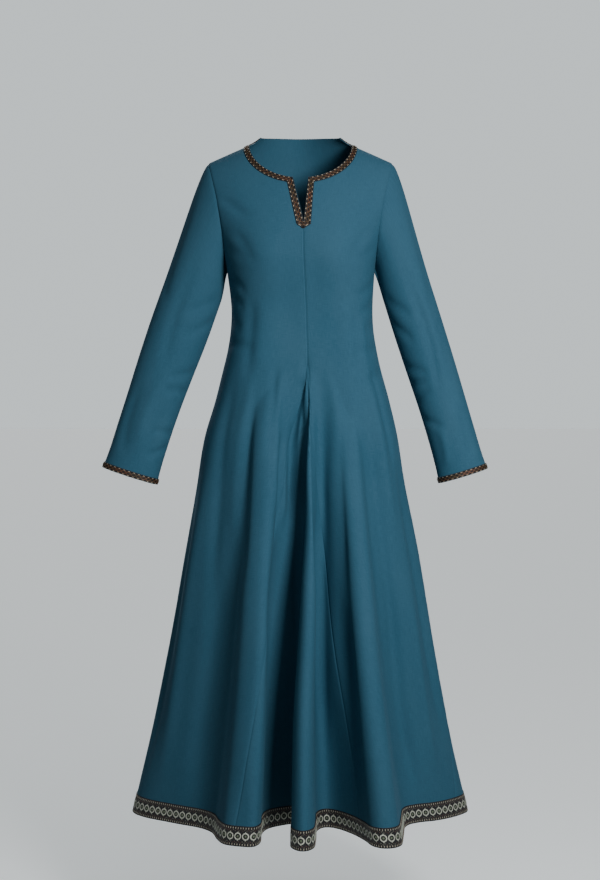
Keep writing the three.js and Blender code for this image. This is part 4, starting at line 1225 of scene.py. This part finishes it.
def makeCuff(name):
    sleeve = sleeves[name]
    side = sleeve["side"]
    drop = sleeve["stations"]["z"][5] - sleeve["stations"]["z"][6]

    def cloth(angle, at):
        aside, down = cuffLook["turnStep"], cuffLook["stationStep"]
        around = armPoint(sleeve, angle + aside, at) - armPoint(sleeve, angle - aside, at)
        along = armPoint(sleeve, angle, np.minimum(at + down, lastStation)) - armPoint(sleeve, angle, at - down)
        return armPoint(sleeve, angle, at), unit(np.cross(around, along) * side)

    angles = np.linspace(0, turn, cuffLook["angles"])
    middle = lastStation - braidLook["width"] / drop / 2
    lengths = lengthsOf(cloth(angles, np.full(len(angles), middle))[0])
    total = evenPitches(lengths[-1]) * braidLook["pitch"]

    def surface(u, v, h):
        angle = np.interp((u % total) / total * lengths[-1], lengths, angles)
        point, normal = cloth(angle, middle - v / drop * cuffLook["slope"])
        return point + normal * np.asarray(h)[..., None]

    steps = round(total / braidLook["step"])
    rows = {"s": np.arange(steps) * total / steps}

    def point(rows, across, lift):
        s = np.broadcast_to(rows["s"][:, None], across.shape)
        return surface(s, across, lift)

    base, parts = makeBraid(f"cuffBraid{name.title()}", rows, point, [f"cuff_braid_{name}"], True)
    parts += dressBraid(f"cuffTicks{name.title()}", f"cuffStitches{name.title()}", total, surface)
    return base, parts, total


cuffs = {name: makeCuff(name) for name in ("left", "right")}
print("cuff braids made")


# Hem ribbon: a dark woven band with silver rings, stars, leaf marks and pale edge ticks

ribbonLook = {"height": 36.0, "pitch": 15.0, "step": 3.75, "ringRadius": 5.65, "ringStroke": 1.1, "ringLift": 1.25,
              "ringFlat": 0.45, "starPinch": 0.42, "nubAside": 7.4, "tickPitch": 5.0, "tickEdge": 3.5,
              "leafPitch": 3.75, "leafEdge": 7.6, "leafShift": 0.9, "stitchPitch": 6.0, "stitchEdge": 1.3}
ribbonProfile = np.array([
    (0, 0.35), (0.1, 1.0), (0.5, 1.3), (2.1, 1.3), (2.6, 1.0), (10, 1.0), (18, 1.0), (26, 1.0),
    (33.4, 1.0), (33.9, 1.3), (35.5, 1.3), (35.9, 1.0), (36, 0.35), (24, 0.35), (12, 0.35),
])
hemBearings = np.arange(-95, 265.01, 0.05)
hemLengths = lengthsOf(clothBody(hemBearings, np.full(len(hemBearings), levels["hem"] + ribbonLook["height"] / 2)))
ribbonPitches = round(hemLengths[-1] / ribbonLook["pitch"])
ribbonLength = ribbonPitches * ribbonLook["pitch"]


def ribbonSurface(u, v, h):
    bearing = np.interp((u % ribbonLength) / ribbonLength * hemLengths[-1], hemLengths, hemBearings)
    level = levels["hem"] + v
    return liftedBody(np.stack(np.broadcast_arrays(bearing, level), -1), h)


def makeRibbon():
    look = ribbonLook
    steps = round(ribbonLength / look["step"])
    s = np.arange(steps) * ribbonLength / steps
    along, up, lift = np.broadcast_arrays(s[:, None], ribbonProfile[None, :, 0], ribbonProfile[None, :, 1])
    uvs = gridUv(s, profileLengths(ribbonProfile))
    base = sweep("hemRibbon", ribbonSurface(along, up, lift), bandMaterial, uvs, True)
    wear(base, "ribbon", "hem_ribbon")
    return base


def flattenRing(obj):
    obj.scale.z *= ribbonLook["ringFlat"]


def pinchStar(obj):
    lowest = min(vertex.co.z for vertex in obj.data.vertices)
    for vertex in obj.data.vertices:
        spoke = round(math.degrees(math.atan2(vertex.co.y, vertex.co.x)) / 30)
        if abs(vertex.co.z - lowest) < 1e-6 and spoke % 2:
            vertex.co.x *= ribbonLook["starPinch"]
            vertex.co.y *= ribbonLook["starPinch"]


ribbon = makeRibbon()
motifCentres = (np.arange(ribbonPitches) + 0.5) * ribbonLook["pitch"]
middleHeight = ribbonLook["height"] / 2
ringModel = modelOnce(
    lambda: bpy.ops.mesh.primitive_torus_add(
        major_segments=18, minor_segments=4, major_radius=ribbonLook["ringRadius"],
        minor_radius=ribbonLook["ringStroke"], location=(0, 0, ribbonLook["ringLift"]),
    ),
    flattenRing,
)
starModel = coneModel(12, 3.4, 0.9, 1.35, pinchStar)
leafModel = coneModel(3, 2.2, 0.7, 1.25)
nubModel = coneModel(4, 1.25, 0.8, 1.3)
ribbonTickModel = liftedModel((tickModel[0] * (1, 1, 0.7), tickModel[1]), 1.15)
ringPlaces = [(u, middleHeight) for u in motifCentres]
leafStops, tickStops, hemStitchStops = (
    np.arange(pitch / 2, ribbonLength, pitch)
    for pitch in (ribbonLook["leafPitch"], ribbonLook["tickPitch"], ribbonLook["stitchPitch"])
)
leafPlaces, leafTurns = [], []
for i, u in enumerate(leafStops):
    shift, turned = (ribbonLook["leafShift"], math.pi) if i % 2 else (-ribbonLook["leafShift"], 0)
    leafPlaces += bothSides([u], middleHeight - ribbonLook["leafEdge"] + shift, middleHeight)
    leafTurns += [math.pi / 2 * side + turned for side in (-1, 1)]
tickPlaces = bothSides(tickStops, middleHeight - ribbonLook["tickEdge"], middleHeight)
hemStitchHeights = (ribbonLook["stitchEdge"], ribbonLook["height"] - ribbonLook["stitchEdge"])
ribbonParts = []
for name, model, places, material, *turns in (
    ("ribbonRings", ringModel, ringPlaces, silverMaterial),
    ("ribbonNubs", nubModel, bothSides(motifCentres, ribbonLook["nubAside"], middleHeight), silverMaterial),
    ("ribbonStars", starModel, ringPlaces, sageMaterial),
    ("ribbonLeaves", leafModel, leafPlaces, leafMaterial, leafTurns, True),
    ("ribbonTicks", ribbonTickModel, tickPlaces, creamMaterial, np.full(len(tickPlaces), math.pi / 2)),
    ("ribbonStitches", liftedModel(stitchModel, 1.3), [(u, v) for u in hemStitchStops for v in hemStitchHeights],
     cordMaterial),
):
    ribbonParts.append(copyAlong(name, model, places, ribbonSurface, material, *turns))
for part in ribbonParts:
    wear(part, "ribbon")
print("hem ribbon made")


# Two rows of stitches beside the centre front seam

seamStitchLook = {"spacing": 3.6, "aside": 3.2, "lift": 0.12, "belowBraid": 3, "aboveGore": 4, "steps": 400}


def centreStitches():
    look = seamStitchLook
    foot = placeAt(*slit["braidBottom"], False)[1]
    seamLevels = np.linspace(foot - look["belowBraid"], levels["goreTop"] + look["aboveGore"], look["steps"])
    lengths = lengthsOf(foldedBody(centreBearing(seamLevels), seamLevels))

    def surface(u, v, h):
        level = np.interp(u, lengths, seamLevels)
        bearing = centreBearing(level)
        scale = np.linalg.norm(foldedBody(bearing + 0.5, level) - foldedBody(bearing - 0.5, level), axis=-1)
        return liftedBody(np.stack([bearing + v / scale, level], -1), h)

    stops = np.arange(look["spacing"], lengths[-1], look["spacing"])
    model = liftedModel(stitchModel, look["lift"])
    obj = copyAlong("centreStitches", model, bothSides(stops, look["aside"]), surface, seamThreadMaterial)
    wear(obj, "cloth")
    return obj


centreRows = centreStitches()
print("stitches made")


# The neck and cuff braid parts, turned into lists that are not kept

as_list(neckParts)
for name, (base, parts, total) in cuffs.items():
    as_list(parts)


# Floor, light and camera

studio = {"floorLevel": -1.56, "floorSize": 400, "floorTone": (0.82, 0.87, 0.885), "floorGlow": 0.29,
          "backdrop": (0.735, 0.80, 0.82), "fill": (0.93, 0.98, 1.0), "fillStrength": 0.11}


def addStudio():
    bpy.ops.mesh.primitive_plane_add(size=studio["floorSize"], location=(0, 0, studio["floorLevel"]))
    floor = bpy.context.object
    floor.name = "studioFloor"
    floor.visible_diffuse = False  # throws no light up into the skirt
    material, tree, shader = newMaterial(
        "paleFloor", 0.9, Specular_IOR_Level=0.1, Emission_Color=(*studio["floorTone"], 1),
        Emission_Strength=studio["floorGlow"],
    )
    place = addNode(tree, "ShaderNodeTexCoord").outputs["Object"]
    noise = addNode(tree, "ShaderNodeTexNoise", {"Vector": place, "Scale": 1.5})
    lighter = tuple(min(1, part * 1.03) for part in studio["floorTone"])
    tone = mixColours(tree, noise.outputs["Fac"], studio["floorTone"], lighter)
    tree.links.new(tone, shader.inputs["Base Color"])
    floor.data.materials.append(material)
    world = bpy.data.worlds.new("studio")
    bpy.context.scene.world = world
    world.use_nodes = True
    tree = world.node_tree
    fill = tree.nodes["Background"]
    fill.inputs["Color"].default_value = (*studio["fill"], 1)
    fill.inputs["Strength"].default_value = studio["fillStrength"]
    backdrop = addNode(tree, "ShaderNodeBackground", {"Color": (*studio["backdrop"], 1), "Strength": 1.0})
    seen = addNode(tree, "ShaderNodeLightPath").outputs["Is Camera Ray"]
    both = addNode(tree, "ShaderNodeMixShader", {0: seen})
    tree.links.new(fill.outputs[0], both.inputs[1])
    tree.links.new(backdrop.outputs[0], both.inputs[2])
    tree.links.new(both.outputs[0], tree.nodes["World Output"].inputs["Surface"])


def addLight(kind, name, place, target, strength):
    bpy.ops.object.light_add(type=kind, location=place)
    light = bpy.context.object
    light.name = name
    light.rotation_euler = (Vector(target) - Vector(place)).to_track_quat("-Z", "Y").to_euler()
    light.data.energy = strength
    return light


def addSoftBox(name, place, target, size, watts):
    light = addLight("AREA", name, place, target, watts)
    light.data.size = size
    light.visible_camera = False


def addSoftSun(name, place, strength, spread):
    addLight("SUN", name, place, (0, 0, 0), strength).data.angle = math.radians(spread)


cameraLook = {"place": (0, -3.0, -0.546), "lens": 61.36, "sensor": 36, "aside": -0.5, "down": -19, "picture": 880}


def addCamera():
    look = cameraLook
    bpy.ops.object.camera_add(location=look["place"], rotation=(math.pi / 2, 0, 0))
    camera = bpy.context.object
    camera.data.lens = look["lens"]
    camera.data.sensor_width = look["sensor"]
    camera.data.shift_x = look["aside"] / look["picture"]
    camera.data.shift_y = look["down"] / look["picture"]
    bpy.context.scene.camera = camera


addStudio()
addSoftBox("softKey", (0.8, -1.75, -0.02), (0, 0, -0.45), 0.5, 33)
addSoftSun("topLift", (0.2, -1.2, 2.6), 0.42, 60)
addSoftSun("rearLift", (-0.25, 2.8, 1.5), 1.9, 40)
addCamera()
print("studio made")
